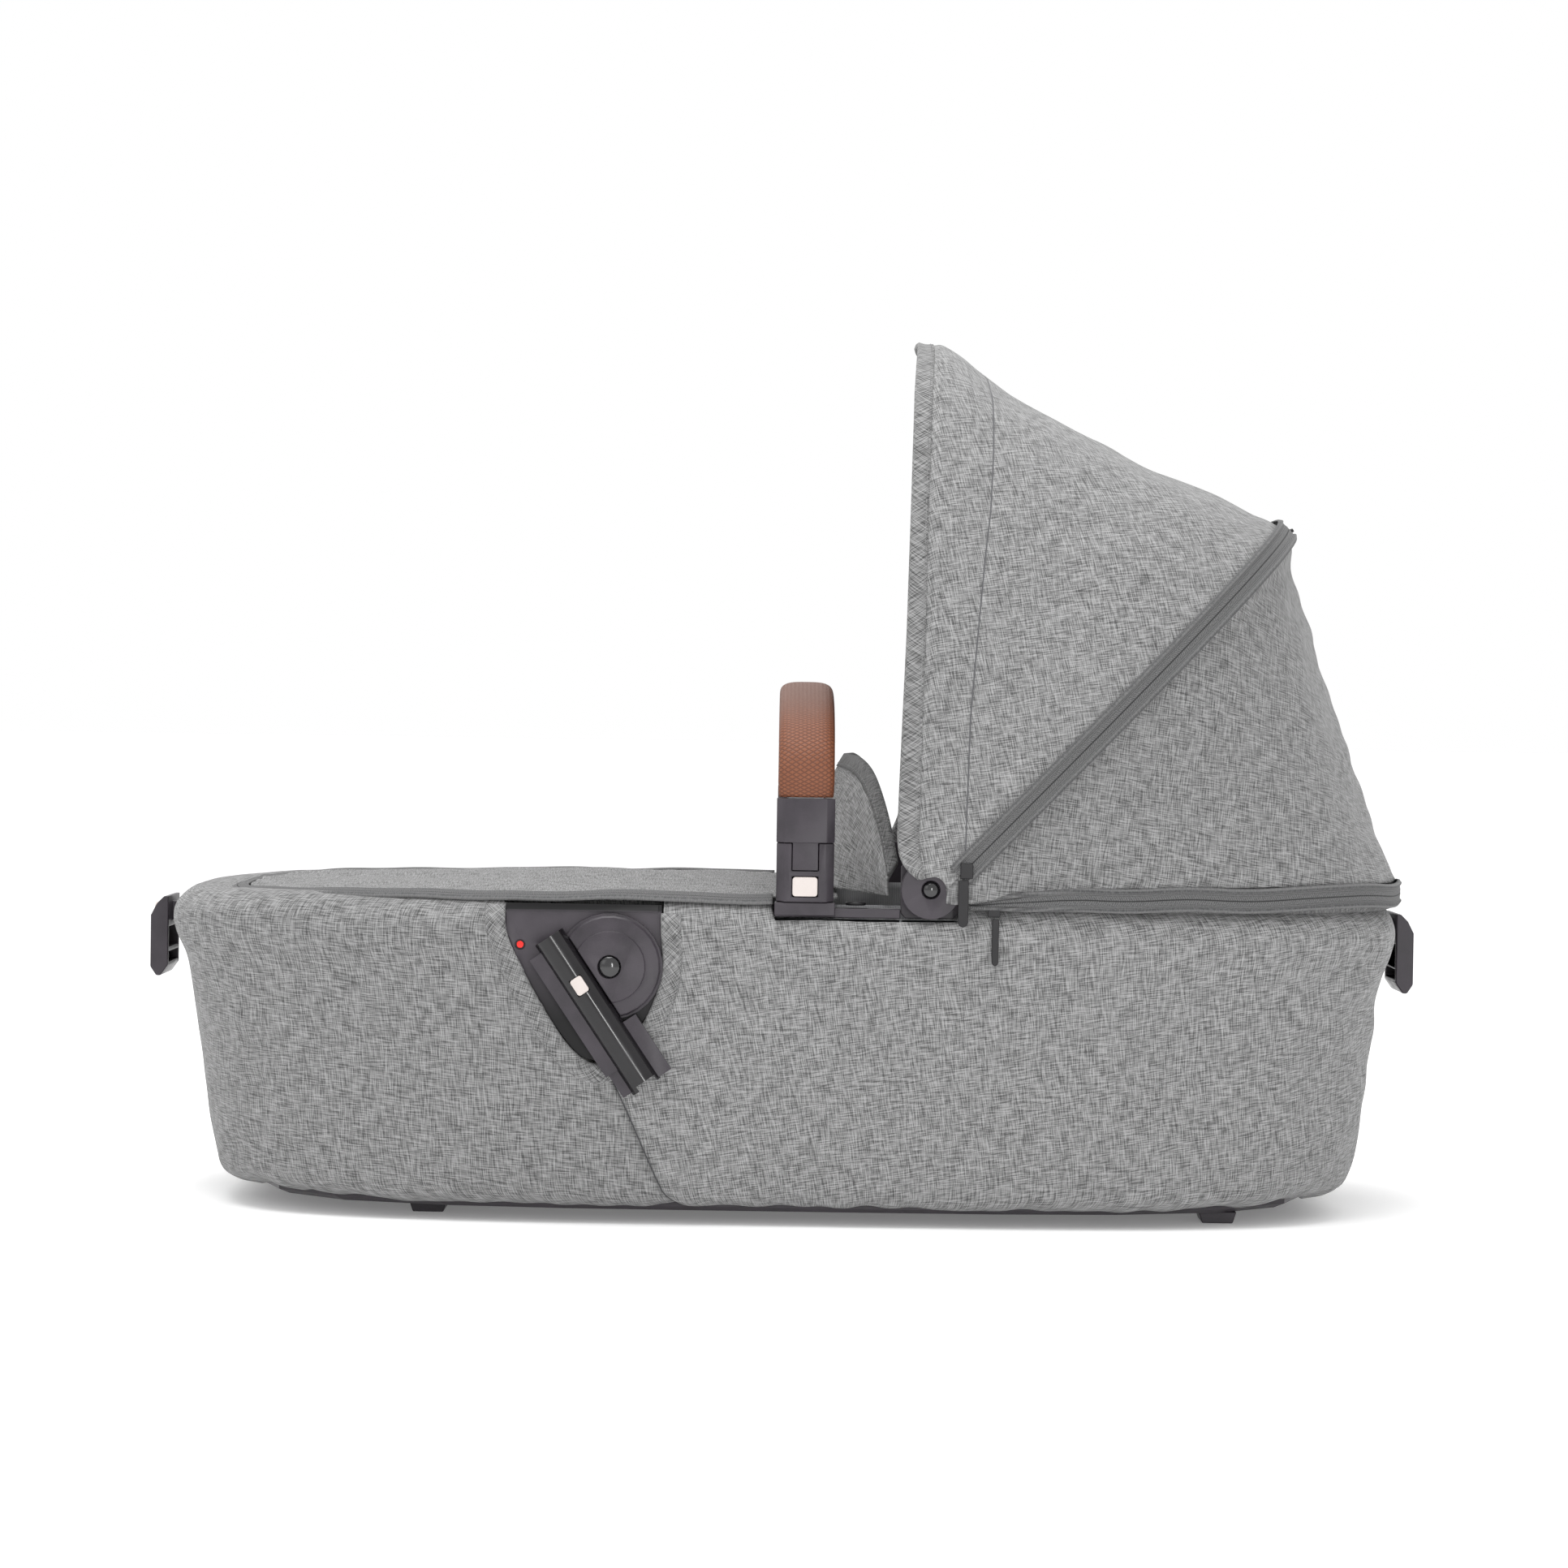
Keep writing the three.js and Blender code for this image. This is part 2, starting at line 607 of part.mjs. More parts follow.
const handleStrip = () =>
  sweep(bandSection(STRIP.thickness, STRIP.width, 0.8), handleLine(STRIP.footZ));

// Padded leatherette sleeve round the strip.
function handleGrip() {
  const { thickness, width } = HANDLE_SECTION;
  const outside = sweep(bandSection(thickness, width, 6), handleLine(HANDLE.sleeveTop + GAP));
  const hollow = bandSection(STRIP.thickness + 2 * GAP, STRIP.width + 2 * GAP, 0.8);
  return cut(outside, sweep(hollow, handleLine(STRIP.footZ)));
}

// Sleeve that holds the end of the handle's strip, with a tongue that enters the socket.
function handleEnd(side) {
  const [halfWidth, back, front] = [18.6, 194, 216.5];
  const sleeve = post(-halfWidth, halfWidth, -front, -back, HANDLE.socketTop + GAP, HANDLE.sleeveTop, 5);
  const tongue = box([-8.2, -front + 0.9, 230.2], [8.2, -back - 4.4, HANDLE.socketTop + 5]);
  const stripHole = box([-12.6, -208.4, 257.5], [12.6, -201.6, 280]);
  const solid = cut(join(sleeve, tongue), stripHole);
  return side === "left" ? solid.rotateZ(Math.PI) : solid;
}

function addHandle(parent) {
  const handle = new THREE.Group();
  handle.position.x = HANDLE.x;
  named(handle, "handle_grip", handleGrip(), leatherette());
  named(handle, "handle_strip", handleStrip(), aluminium());
  named(handle, "handle_end_right", handleEnd("right"), plastic());
  named(handle, "handle_end_left", handleEnd("left"), plastic());
  parent.add(handle);
}

// ---- canopy ----
// A point on a hoop: t runs 0 to 1 from the right pivot over the crest to the left pivot.
function hoopPoint(t, height, halfWidth, exponent = HOOP.exponent) {
  const [y, rise] = superellipse(t * Math.PI, exponent);
  return new THREE.Vector3(0, -halfWidth * y, height * rise);
}

// A flat bow with an eye at each end, drawn upright about the hinge pin.
function hoop({ height, halfWidth }) {
  const [half, steps] = [HOOP.thickness / 2, 28];
  const line = Array.from({ length: steps + 1 }, (_, i) => {
    const { y, z } = hoopPoint(i / steps, height - half, halfWidth);
    return [y, z];
  });
  const [t, w] = [half, HOOP.width / 2];
  const bow = sweep([[-t, -w], [t, -w], [t, w], [-t, w]], line);
  const eye = (y) => barAlongY(11, y - half, y + half);
  const pinHole = barAlongY(HINGE.pinRadius + 0.4, -250, 250);
  return cut(join(bow, eye(-halfWidth), eye(halfWidth)), pinHole);
}

function hoopGroup(parent, angle) {
  const group = new THREE.Group();
  group.position.set(HINGE.x, 0, HINGE.z);
  group.rotation.y = THREE.MathUtils.degToRad(90 - angle);
  parent.add(group);
  return group;
}

// A hoop's outline in the cot's frame, pushed forward along -X by the given amount.
function hoopLine(t, angle, height, halfWidth, forward = 0) {
  const turn = THREE.MathUtils.degToRad(90 - angle);
  return hoopPoint(t, height, halfWidth)
    .applyAxisAngle(new THREE.Vector3(0, 1, 0), turn)
    .add(new THREE.Vector3(HINGE.x - forward, 0, HINGE.z));
}

// The rim line behind the hinges: t runs 0 to 1 from the right side round the head end to the left.
function headRimLine(t, inset, z) {
  const [x, y] = superellipse((t - 0.5) * THREE.MathUtils.degToRad(150), RIM.exponent);
  return new THREE.Vector3(RIM.centreX + (RIM.halfLength - inset) * x, (RIM.halfWidth - inset) * y, z);
}

// Cloth stretched over lines that run from side to side. Each line has its own sag towards the inside.
function canopyPanel(lines) {
  const columns = 25;
  const start = 0.016; // the first column lies inside the space left for the hinge disc
  const layer = (shrink) =>
    lines.map(({ line, sag }) => {
      const pull = sag + shrink;
      return Array.from({ length: columns }, (_, c) => {
        const p = line(start + ((1 - 2 * start) * c) / (columns - 1));
        const inward = new THREE.Vector3(HINGE.x + 40, 0, HINGE.z - 20).sub(p).normalize();
        return p.addScaledVector(inward, pull);
      });
    });
  return cut(
    sheet(layer(0), layer(CANOPY.thickness)),
    barAlongY(CANOPY.hubClear, -260, 260, HINGE.x, HINGE.z),
  );
}

// Lines at even steps from one line to another, sagging most at the middle.
const ruled = (first, last, steps, sag) =>
  Array.from({ length: steps + 1 }, (_, i) => ({
    line: (t) => first(t).lerp(last(t), i / steps),
    sag: sag * Math.sin((Math.PI * i) / steps),
  }));

function frontPanel() {
  const { halfWidth, frontHeight, midHeight } = CANOPY;
  const edge = (t) => {
    const height = Math.sin(Math.PI * t);
    return hoopLine(t, FRONT_HOOP.angle, frontHeight + 6 * height, halfWidth, 20 - 6 * height);
  };
  const front = (t) => hoopLine(t, FRONT_HOOP.angle, frontHeight, halfWidth);
  const back = (t) => hoopLine(t, MID_HOOP.angle + 1.2, midHeight, halfWidth);
  return canopyPanel([{ line: edge, sag: 0 }, ...ruled(front, back, 4, 4)]);
}

function rearPanel() {
  const { halfWidth, midHeight } = CANOPY;
  const front = (t) => hoopLine(t, MID_HOOP.angle - 1.4, midHeight + 1, halfWidth);
  const back = (t) => headRimLine(t, 1, 221.8);
  return canopyPanel(ruled(front, back, 5, 5));
}

// Zip tape along the middle bow, standing just outside the cloth.
function hoopZip() {
  const columns = 25;
  const half = 1.1; // degrees either side of the bow
  const layer = (lift) =>
    [half, -half].map((turn) =>
      Array.from({ length: columns }, (_, c) => {
        const t = 0.024 + (0.952 * c) / (columns - 1);
        return hoopLine(t, MID_HOOP.angle + turn, CANOPY.midHeight + lift, CANOPY.halfWidth + lift);
      }),
    );
  return sheet(layer(3), layer(1.4));
}

// Zip tape round the head end, between the canopy and the tub.
const rimZip = () =>
  common(
    planLoft([[1.5, 0.8, 206], [0.6, -0.1, 213.5], [1.5, 0.8, 221], [3.6, 2.9, 221], [3.6, 2.9, 206]], {
      closedProfile: true,
    }),
    box([114, -230, 190], [430, 230, 230]),
  );

// ---- canopy hinge, drawn for the right side ----
function hingeBase() {
  const block = slabAlongY(
    chamferedRectangle(75.8, 200.1, 112.5, 236, 3), -202.8, -195,
  );
  return cut(block, barAlongY(HINGE.pinRadius + 0.3, -220, -190, HINGE.x, HINGE.z));
}

function hingeDisc() {
  const [low, high] = [-217, -210.6];
  const body = join(
    barAlongY(HINGE.discRadius, low + 3, high, HINGE.x, HINGE.z, 28),
    barAlongY(HINGE.discRadius, low, low + 3.5, HINGE.x, HINGE.z, 28, 14),
  );
  return cut(
    body,
    barAlongY(HINGE.pinRadius + 0.3, -230, -200, HINGE.x, HINGE.z),
    barAlongY(6, -230, low + 2.5, HINGE.x, HINGE.z),
  );
}

function hingePin() {
  const dome = new THREE.SphereGeometry(5.6, 16, 8).scale(1, 0.55, 1).translate(HINGE.x, -214.8, HINGE.z);
  const outside = box([80, -230, 200], [110, -214.8, 240]);
  return join(common(dome, outside), barAlongY(HINGE.pinRadius, -215.2, -196, HINGE.x, HINGE.z));
}

function addHinge(parent, side) {
  named(parent, "hinge_base_" + side, hingeBase(), plastic());
  named(parent, "hinge_disc_" + side, hingeDisc(), plastic());
  named(parent, "hinge_pin_" + side, hingePin(), glossPlastic());
}

// ---- zip sliders and pull tabs, on the right side ----
const HOOP_PULL = { x: 117, y: 218.6, z: 231 };
const RIM_PULL = { x: 135, y: 212.6, z: 206.5 };

const slider = ({ x, y, z }, depth) => box([x - 4, -y - depth, z - 4.5], [x + 4, -y, z + 5.5]);

// A flat tab with a rounded lower end, hanging from zTop to zBottom.
function pullTab(x, width, y, thickness, zTop, zBottom) {
  const half = width / 2;
  const outline = [
    [x - half, zBottom + half], [x - half * 0.7, zBottom + half * 0.3], [x, zBottom],
    [x + half * 0.7, zBottom + half * 0.3], [x + half, zBottom + half], [x + half, zTop], [x - half, zTop],
  ];
  return slabAlongY(outline, -y - thickness, -y);
}

// ---- assembly ----
const cover = coverHalves();
named(carrycot, "cover_foot_end", cover.foot, fabric());
named(carrycot, "cover_head_end", cover.head, fabric());
named(carrycot, "rim_tube", rimTube(), aluminium());
named(carrycot, "wall_stiffener", wallStiffener(), board());
named(carrycot, "lining", lining(), darkFabric());
named(carrycot, "mattress", mattress(), fabric());
named(carrycot, "base_tray", baseTray(), plastic());
for (const [end, x] of [["foot", FOOT.x[0]], ["head", FOOT.x[1]]]) {
  for (const [side, sign] of [["right", -1], ["left", 1]]) {
    named(carrycot, `foot_${end}_${side}`, foot().translate(x, sign * FOOT.y, 0), plastic());
  }
}
named(carrycot, "apron", apron(), fabric());
named(carrycot, "apron_zip", apronZip(), zipTape());
named(carrycot, "apron_flap", flap(), darkFabric());

const button = buttonAlongX(BUTTON.radius, GRIP.outerX - 5, GRIP.outerX);
const bore = buttonAlongX(BUTTON.radius + GAP, GRIP.outerX - 10, GRIP.outerX + 5);
const springBehind = spring(3, 2.2, 1.6, 0.35)
  .rotateY(Math.PI / 2)
  .translate(GRIP.outerX - 9.8, 0, BUTTON.z);
const footEnd = new THREE.Group();
footEnd.rotation.z = Math.PI;
named(footEnd, "grip_foot_end", cut(endGrip(), bore), plastic());
named(footEnd, "grip_button", button, buttonPlastic());
named(footEnd, "grip_spring", springBehind, steel());
carrycot.add(footEnd);
named(carrycot, "grip_head_end", endGrip().translate(0.6, 0, 0), plastic());

addHandle(carrycot);
for (const [side, sign] of [["right", 1], ["left", -1]]) {
  const fittings = new THREE.Group();
  fittings.scale.y = sign; // the left side is the right side's mirror image
  addAdapter(fittings, side);
  addHandleFittings(fittings, side);
  addHinge(fittings, side);
  carrycot.add(fittings);
}

named(hoopGroup(carrycot, FRONT_HOOP.angle), "front_hoop", hoop(FRONT_HOOP), plastic());
named(hoopGroup(carrycot, MID_HOOP.angle), "mid_hoop", hoop(MID_HOOP), plastic());
named(carrycot, "canopy_front_panel", frontPanel(), fabric());
named(carrycot, "canopy_rear_panel", rearPanel(), fabric());
named(carrycot, "hoop_zip", hoopZip(), zipTape());
named(carrycot, "rim_zip", rimZip(), zipTape());
named(carrycot, "hoop_zip_slider", slider(HOOP_PULL, 2.4), plastic());
named(carrycot, "hoop_zip_tab", pullTab(115, 6.6, 219.4, 2.4, 225.5, 195.5), plastic());
named(carrycot, "rim_zip_slider", slider(RIM_PULL, 1.8), plastic());
named(carrycot, "rim_zip_tab", pullTab(136, 4.4, 214.6, 2, 201, 171), plastic());

export default carrycot;
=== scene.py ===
"""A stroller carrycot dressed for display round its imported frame. Lengths inside the shape functions are in
millimetres, +Z up, head end along +X. "right" is the -Y side and "left" the +Y side."""

import json
import math

import bmesh
import bpy
import numpy as np
from mathutils import Matrix, Vector

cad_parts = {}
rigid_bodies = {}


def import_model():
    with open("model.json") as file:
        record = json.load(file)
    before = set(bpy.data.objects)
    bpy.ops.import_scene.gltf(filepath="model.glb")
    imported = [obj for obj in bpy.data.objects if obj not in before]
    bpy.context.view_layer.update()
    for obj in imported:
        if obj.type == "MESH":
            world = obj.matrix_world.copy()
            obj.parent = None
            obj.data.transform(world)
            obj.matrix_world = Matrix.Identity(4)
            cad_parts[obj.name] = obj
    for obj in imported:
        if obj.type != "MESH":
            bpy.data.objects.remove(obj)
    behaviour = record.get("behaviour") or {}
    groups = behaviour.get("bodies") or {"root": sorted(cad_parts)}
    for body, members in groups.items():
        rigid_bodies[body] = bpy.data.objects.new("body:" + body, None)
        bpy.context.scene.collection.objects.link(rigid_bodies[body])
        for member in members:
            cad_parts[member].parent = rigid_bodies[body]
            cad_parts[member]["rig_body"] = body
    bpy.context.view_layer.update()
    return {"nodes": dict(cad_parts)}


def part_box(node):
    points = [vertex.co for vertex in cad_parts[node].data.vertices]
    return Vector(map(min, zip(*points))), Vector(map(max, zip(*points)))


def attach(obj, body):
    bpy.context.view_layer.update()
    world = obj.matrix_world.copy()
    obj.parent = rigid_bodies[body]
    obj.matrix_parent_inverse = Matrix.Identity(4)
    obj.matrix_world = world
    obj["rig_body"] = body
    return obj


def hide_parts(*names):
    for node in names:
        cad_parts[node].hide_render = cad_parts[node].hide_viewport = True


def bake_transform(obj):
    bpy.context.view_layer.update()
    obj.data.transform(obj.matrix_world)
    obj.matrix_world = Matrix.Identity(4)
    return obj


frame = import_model()

MM = 0.001
FLOOR_HALF = 30.0  # metres


# ---- arrays of points ----
def box_mm(*nodes):
    """Lowest and highest corner that hold all the nodes, in millimetres."""
    corners = np.array([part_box(n) for n in nodes]) / MM
    return corners[:, 0].min(0), corners[:, 1].max(0)


def resample(line, count):
    """Count points at even steps of length along a line of points of any dimension."""
    steps = np.linalg.norm(np.diff(line, axis=0), axis=1)
    along = np.concatenate([[0], np.cumsum(steps)])
    wanted = np.linspace(0, along[-1], count)
    return np.stack([np.interp(wanted, along, axis) for axis in line.T], axis=1)


def smooth_line(points, count):
    """Catmull-Rom curve through the points: each span is the cubic set by its two ends and their neighbours.
    Count points are taken from it at even steps of length."""
    p = np.asarray(points, float)
    p = np.vstack([2 * p[0] - p[1], p, 2 * p[-1] - p[-2]])
    a, b, c, d = p[:-3], p[1:-2], p[2:-1], p[3:]
    t = np.linspace(0, 1, 24, endpoint=False)[:, None, None]
    curve = b + 0.5 * t * (c - a + t * (2 * a - 5 * b + 4 * c - d + t * (3 * (b - c) + d - a)))
    curve = np.vstack([curve.transpose(1, 0, 2).reshape(-1, p.shape[1]), p[-2]])
    return resample(curve, count)


def ripple(seed, a, b, wavelength):
    """Smooth random field over two coordinates: nine cosines of random heading and phase, whose wavelengths
    lie between 0.7 and 1.5 times the one given. Its standard deviation is 1."""
    r = np.random.default_rng(seed)
    heading, phase = r.uniform(0, math.pi, 9), r.uniform(0, 2 * math.pi, 9)
    number = 2 * math.pi / (wavelength * r.uniform(0.7, 1.5, 9))
    a, b = np.asarray(a, float)[..., None], np.asarray(b, float)[..., None]
    waves = np.cos(number * (a * np.cos(heading) + b * np.sin(heading)) + phase)
    return waves.sum(-1) * math.sqrt(2 / 9)


def bell(x, width):
    """1 at zero, falling as exp(-(x / width)^2)."""
    return np.exp(-((np.asarray(x, float) / width) ** 2))


def step(x, low, high):
    """0 below low, 1 above high, and 3t^2 - 2t^3 between them."""
    t = np.clip((np.asarray(x, float) - low) / (high - low), 0, 1)
    return t * t * (3 - 2 * t)


def normals(grid, away_from, closed=False):
    """Unit normals of a grid of points: the cross product of its two differences, turned from a point."""
    if closed:
        across = np.roll(grid, -1, 1) - np.roll(grid, 1, 1)
    else:
        across = np.gradient(grid, axis=1)
    n = np.cross(across, np.gradient(grid, axis=0))
    n /= np.maximum(np.linalg.norm(n, axis=-1, keepdims=True), 1e-9)
    return n if (n * (grid - away_from)).sum() > 0 else -n


# ---- meshes ----
def mesh_object(name, points, faces, uv=None, fields=None):
    """An object at the origin from points in millimetres, faces of equal corner count, a corner map named
    cloth in millimetres, and named numbers per point."""
    mesh = bpy.data.meshes.new(name)
    mesh.from_pydata((np.asarray(points) * MM).tolist(), [], np.asarray(faces).tolist())
    if uv is not None:
        layer = mesh.uv_layers.new(name="cloth")
        layer.data.foreach_set("uv", np.asarray(uv, np.float32).ravel())
    for field, values in (fields or {}).items():
        attribute = mesh.attributes.new(field, "FLOAT", "POINT")
        attribute.data.foreach_set("value", np.asarray(values, np.float32).ravel())
    mesh.shade_smooth()
    made = bpy.data.objects.new(name, mesh)
    bpy.context.scene.collection.objects.link(made)
    return made


def arc_map(grid, wrap):
    """Map coordinates of a grid in millimetres: the mean length along its columns and along its rows."""
    closed = np.concatenate([grid, grid[:, :1]], 1) if wrap[1] else grid
    closed = np.concatenate([closed, closed[:1]], 0) if wrap[0] else closed
    u = np.linalg.norm(np.diff(closed, axis=1), axis=2).mean(0)
    v = np.linalg.norm(np.diff(closed, axis=0), axis=2).mean(1)
    u, v = np.concatenate([[0], np.cumsum(u)]), np.concatenate([[0], np.cumsum(v)])
    return np.stack(np.meshgrid(u, v), axis=-1)


def surface(name, grid, wrap=(False, False), away_from=None, uv=None, keep=None, fields=None):
    """Quads between neighbouring points of a grid of rows and columns, either of which may wrap round.
    Faces look away from a point. keep says, for each quad, whether it's made."""
    rows, columns = grid.shape[:2]
    r, c = np.meshgrid(
        np.arange(rows if wrap[0] else rows - 1),
        np.arange(columns if wrap[1] else columns - 1),
        indexing="ij",
    )
    corners = [(r, c), (r, c + 1), (r + 1, c + 1), (r + 1, c)]
    index = np.stack([(i % rows) * columns + j % columns for i, j in corners], axis=-1)
    uv = arc_map(grid, wrap) if uv is None else uv
    maps = np.stack([uv[i, j] for i, j in corners], axis=2)
    if away_from is not None:
        p = grid.reshape(-1, 3)[index]
        n = np.cross(p[..., 2, :] - p[..., 0, :], p[..., 3, :] - p[..., 1, :])
        if (n * (p.mean(2) - away_from)).sum() < 0:
            index, maps = index[..., ::-1], maps[..., ::-1, :]
    chosen = np.ones(index.shape[:2], bool) if keep is None else keep
    index, maps = index[chosen], maps[chosen]
    used, index = np.unique(index, return_inverse=True)
    fields = {k: np.asarray(v).ravel()[used] for k, v in (fields or {}).items()}
    return mesh_object(name, grid.reshape(-1, 3)[used], index.reshape(-1, 4), maps, fields)


def tube(name, path, section, across, caps=True):
    """A closed section of (across, out) points carried along a path. The across direction is given for each
    path point, and out is square to it and to the path. Both ends are closed by a fan."""
    ahead = np.gradient(path, axis=0)
    ahead /= np.linalg.norm(ahead, axis=1, keepdims=True)
    across = across - (across * ahead).sum(1, keepdims=True) * ahead
    across /= np.linalg.norm(across, axis=1, keepdims=True)
    out = np.cross(ahead, across)
    section = np.asarray(section, float)
    if section.ndim == 2:
        section = np.repeat(section[None], len(path), 0)
    grid = path[:, None] + section[..., :1] * across[:, None] + section[..., 1:] * out[:, None]
    made = surface(name, grid, wrap=(False, True))
    if caps:
        close_ends(made)
    return made


def close_ends(piece):
    """Fills the open ends of a tube and turns all faces outwards."""
    b = bmesh.new()
    b.from_mesh(piece.data)
    bmesh.ops.holes_fill(b, edges=[e for e in b.edges if e.is_boundary], sides=0)
    bmesh.ops.recalc_face_normals(b, faces=b.faces)
    b.to_mesh(piece.data)
    b.free()


def oval(half_width, half_height, power=2.0, count=24):
    """Section |x/a|^n + |y/b|^n = 1, walked round at even angles."""
    angle = np.linspace(0, 2 * math.pi, count, endpoint=False)
    x, y = np.cos(angle), np.sin(angle)
    radius = (abs(x) ** power + abs(y) ** power) ** (-1 / power)
    return np.stack([half_width * radius * x, half_height * radius * y], axis=1)


def beads(name, line, outward, length, gap, radius):
    """Stitches along a line: a six-sided bead for each, its radius following a half circle from end to end,
    half sunk in the cloth."""
    total = np.linalg.norm(np.diff(line, axis=0), axis=1).sum()
    count = max(int(total / (length + gap)), 1)
    fine = resample(np.hstack([line, outward]), count * 8 + 1)
    starts = fine[0:-1:8][:, None]
    lengthwise = round(8 * length / (length + gap))
    ends = fine[[min(i * 8 + lengthwise, len(fine) - 1) for i in range(count)]][:, None]
    share = np.linspace(0, 1, 5)[None, :, None]
    middle = (starts + (ends - starts) * share)[:, :, None]
    ahead = (ends - starts)[:, :, None, :3]
    ahead = ahead / np.linalg.norm(ahead, axis=-1, keepdims=True)
    out = middle[..., 3:] / np.linalg.norm(middle[..., 3:], axis=-1, keepdims=True)
    side = np.cross(ahead, out)
    angle = np.linspace(0, 2 * math.pi, 6, endpoint=False)[None, None, :, None]
    thick = radius * np.sqrt(np.clip(1.02 - (2 * share - 1) ** 2, 0, 1))[:, :, None]
    ring = middle[..., :3] + thick * (np.cos(angle) * side + np.sin(angle) * out)
    base = (np.arange(count) * 30)[:, None, None]
    row, corner = np.meshgrid(np.arange(4), np.arange(6), indexing="ij")
    turn = (corner + 1) % 6
    quads = np.stack([row * 6 + corner, row * 6 + turn, row * 6 + 6 + turn, row * 6 + 6 + corner], -1)
    faces = (base + quads.reshape(1, -1, 4)).reshape(-1, 4)
    made = mesh_object(name, ring.reshape(-1, 3), faces)
    close_ends(made)
    return made


def softened(node, width, material, angle=30.0, segments=2):
    """Stands for a moulded CAD node: the same shape with its edges rounded to a radius near the width in
    millimetres, and shaded smooth between them."""
    mesh = frame["nodes"][node].data.copy()
    mesh.name = node + "_moulded"
    b = bmesh.new()
    b.from_mesh(mesh)
    bmesh.ops.remove_doubles(b, verts=b.verts, dist=2e-6)
    bmesh.ops.dissolve_limit(b, angle_limit=math.radians(0.8), verts=b.verts, edges=b.edges)
    b.to_mesh(mesh)
    b.free()
    made = bpy.data.objects.new(node + "_moulded", mesh)
    bpy.context.scene.collection.objects.link(made)
    mesh.materials.clear()
    mesh.materials.append(material)
    mesh.shade_smooth()
    mesh.set_sharp_from_angle(angle=math.radians(angle + 25))
    rounding = made.modifiers.new("edge radius", "BEVEL")
    rounding.width = width * MM
    rounding.segments = segments
    rounding.limit_method = "ANGLE"
    rounding.angle_limit = math.radians(angle)
    rounding.harden_normals = True
    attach(made, frame["nodes"][node]["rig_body"])
    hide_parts(node)
    return made


def thicken(piece, thickness, offset=-1.0):
    """Gives a cloth surface its thickness, inwards from the outer face."""
    wall = piece.modifiers.new("cloth thickness", "SOLIDIFY")
    wall.thickness = thickness * MM
    wall.offset = offset
    wall.use_even_offset = False
    return piece


def finish(piece, material, body=None, replaces=()):
    """Material, body and the CAD nodes that the piece stands for."""
    piece.data.materials.append(material)
    if body:
        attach(piece, body)
    if replaces:
        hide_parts(*replaces)
    return piece


# ---- materials ----
def linear(hex_colour):
    """Linear RGBA of an sRGB hex colour."""
    parts = [int(hex_colour[i : i + 2], 16) / 255 for i in (1, 3, 5)]
    return [c / 12.92 if c <= 0.04045 else ((c + 0.055) / 1.055) ** 2.4 for c in parts] + [1.0]


def add(tree, kind, inputs=(), **settings):
    """Adds a node, with its settings, and its inputs given as values or as sockets to link from."""
    made = tree.nodes.new("ShaderNode" + kind)
    for key, value in settings.items():
        setattr(made, key, value)
    for socket, value in dict(inputs).items():
        if isinstance(value, bpy.types.NodeSocket):
            tree.links.new(value, made.inputs[socket])
        else:
            made.inputs[socket].default_value = value
    return made


def new_material(name, **sockets):
    """A named material with its shader's own sockets set, and that shader and its tree."""
    material = bpy.data.materials.new(name)
    material.use_nodes = True
    tree = material.node_tree
    shader = tree.nodes["Principled BSDF"]
    for socket, value in sockets.items():
        shader.inputs[socket.replace("_", " ")].default_value = value
    return material, tree, shader


THREAD = 0.7  # mm between the threads drawn; the real 0.3 mm threads would not show at this distance
SLUB = 11.0  # mm, length of a light or dark stretch of one yarn


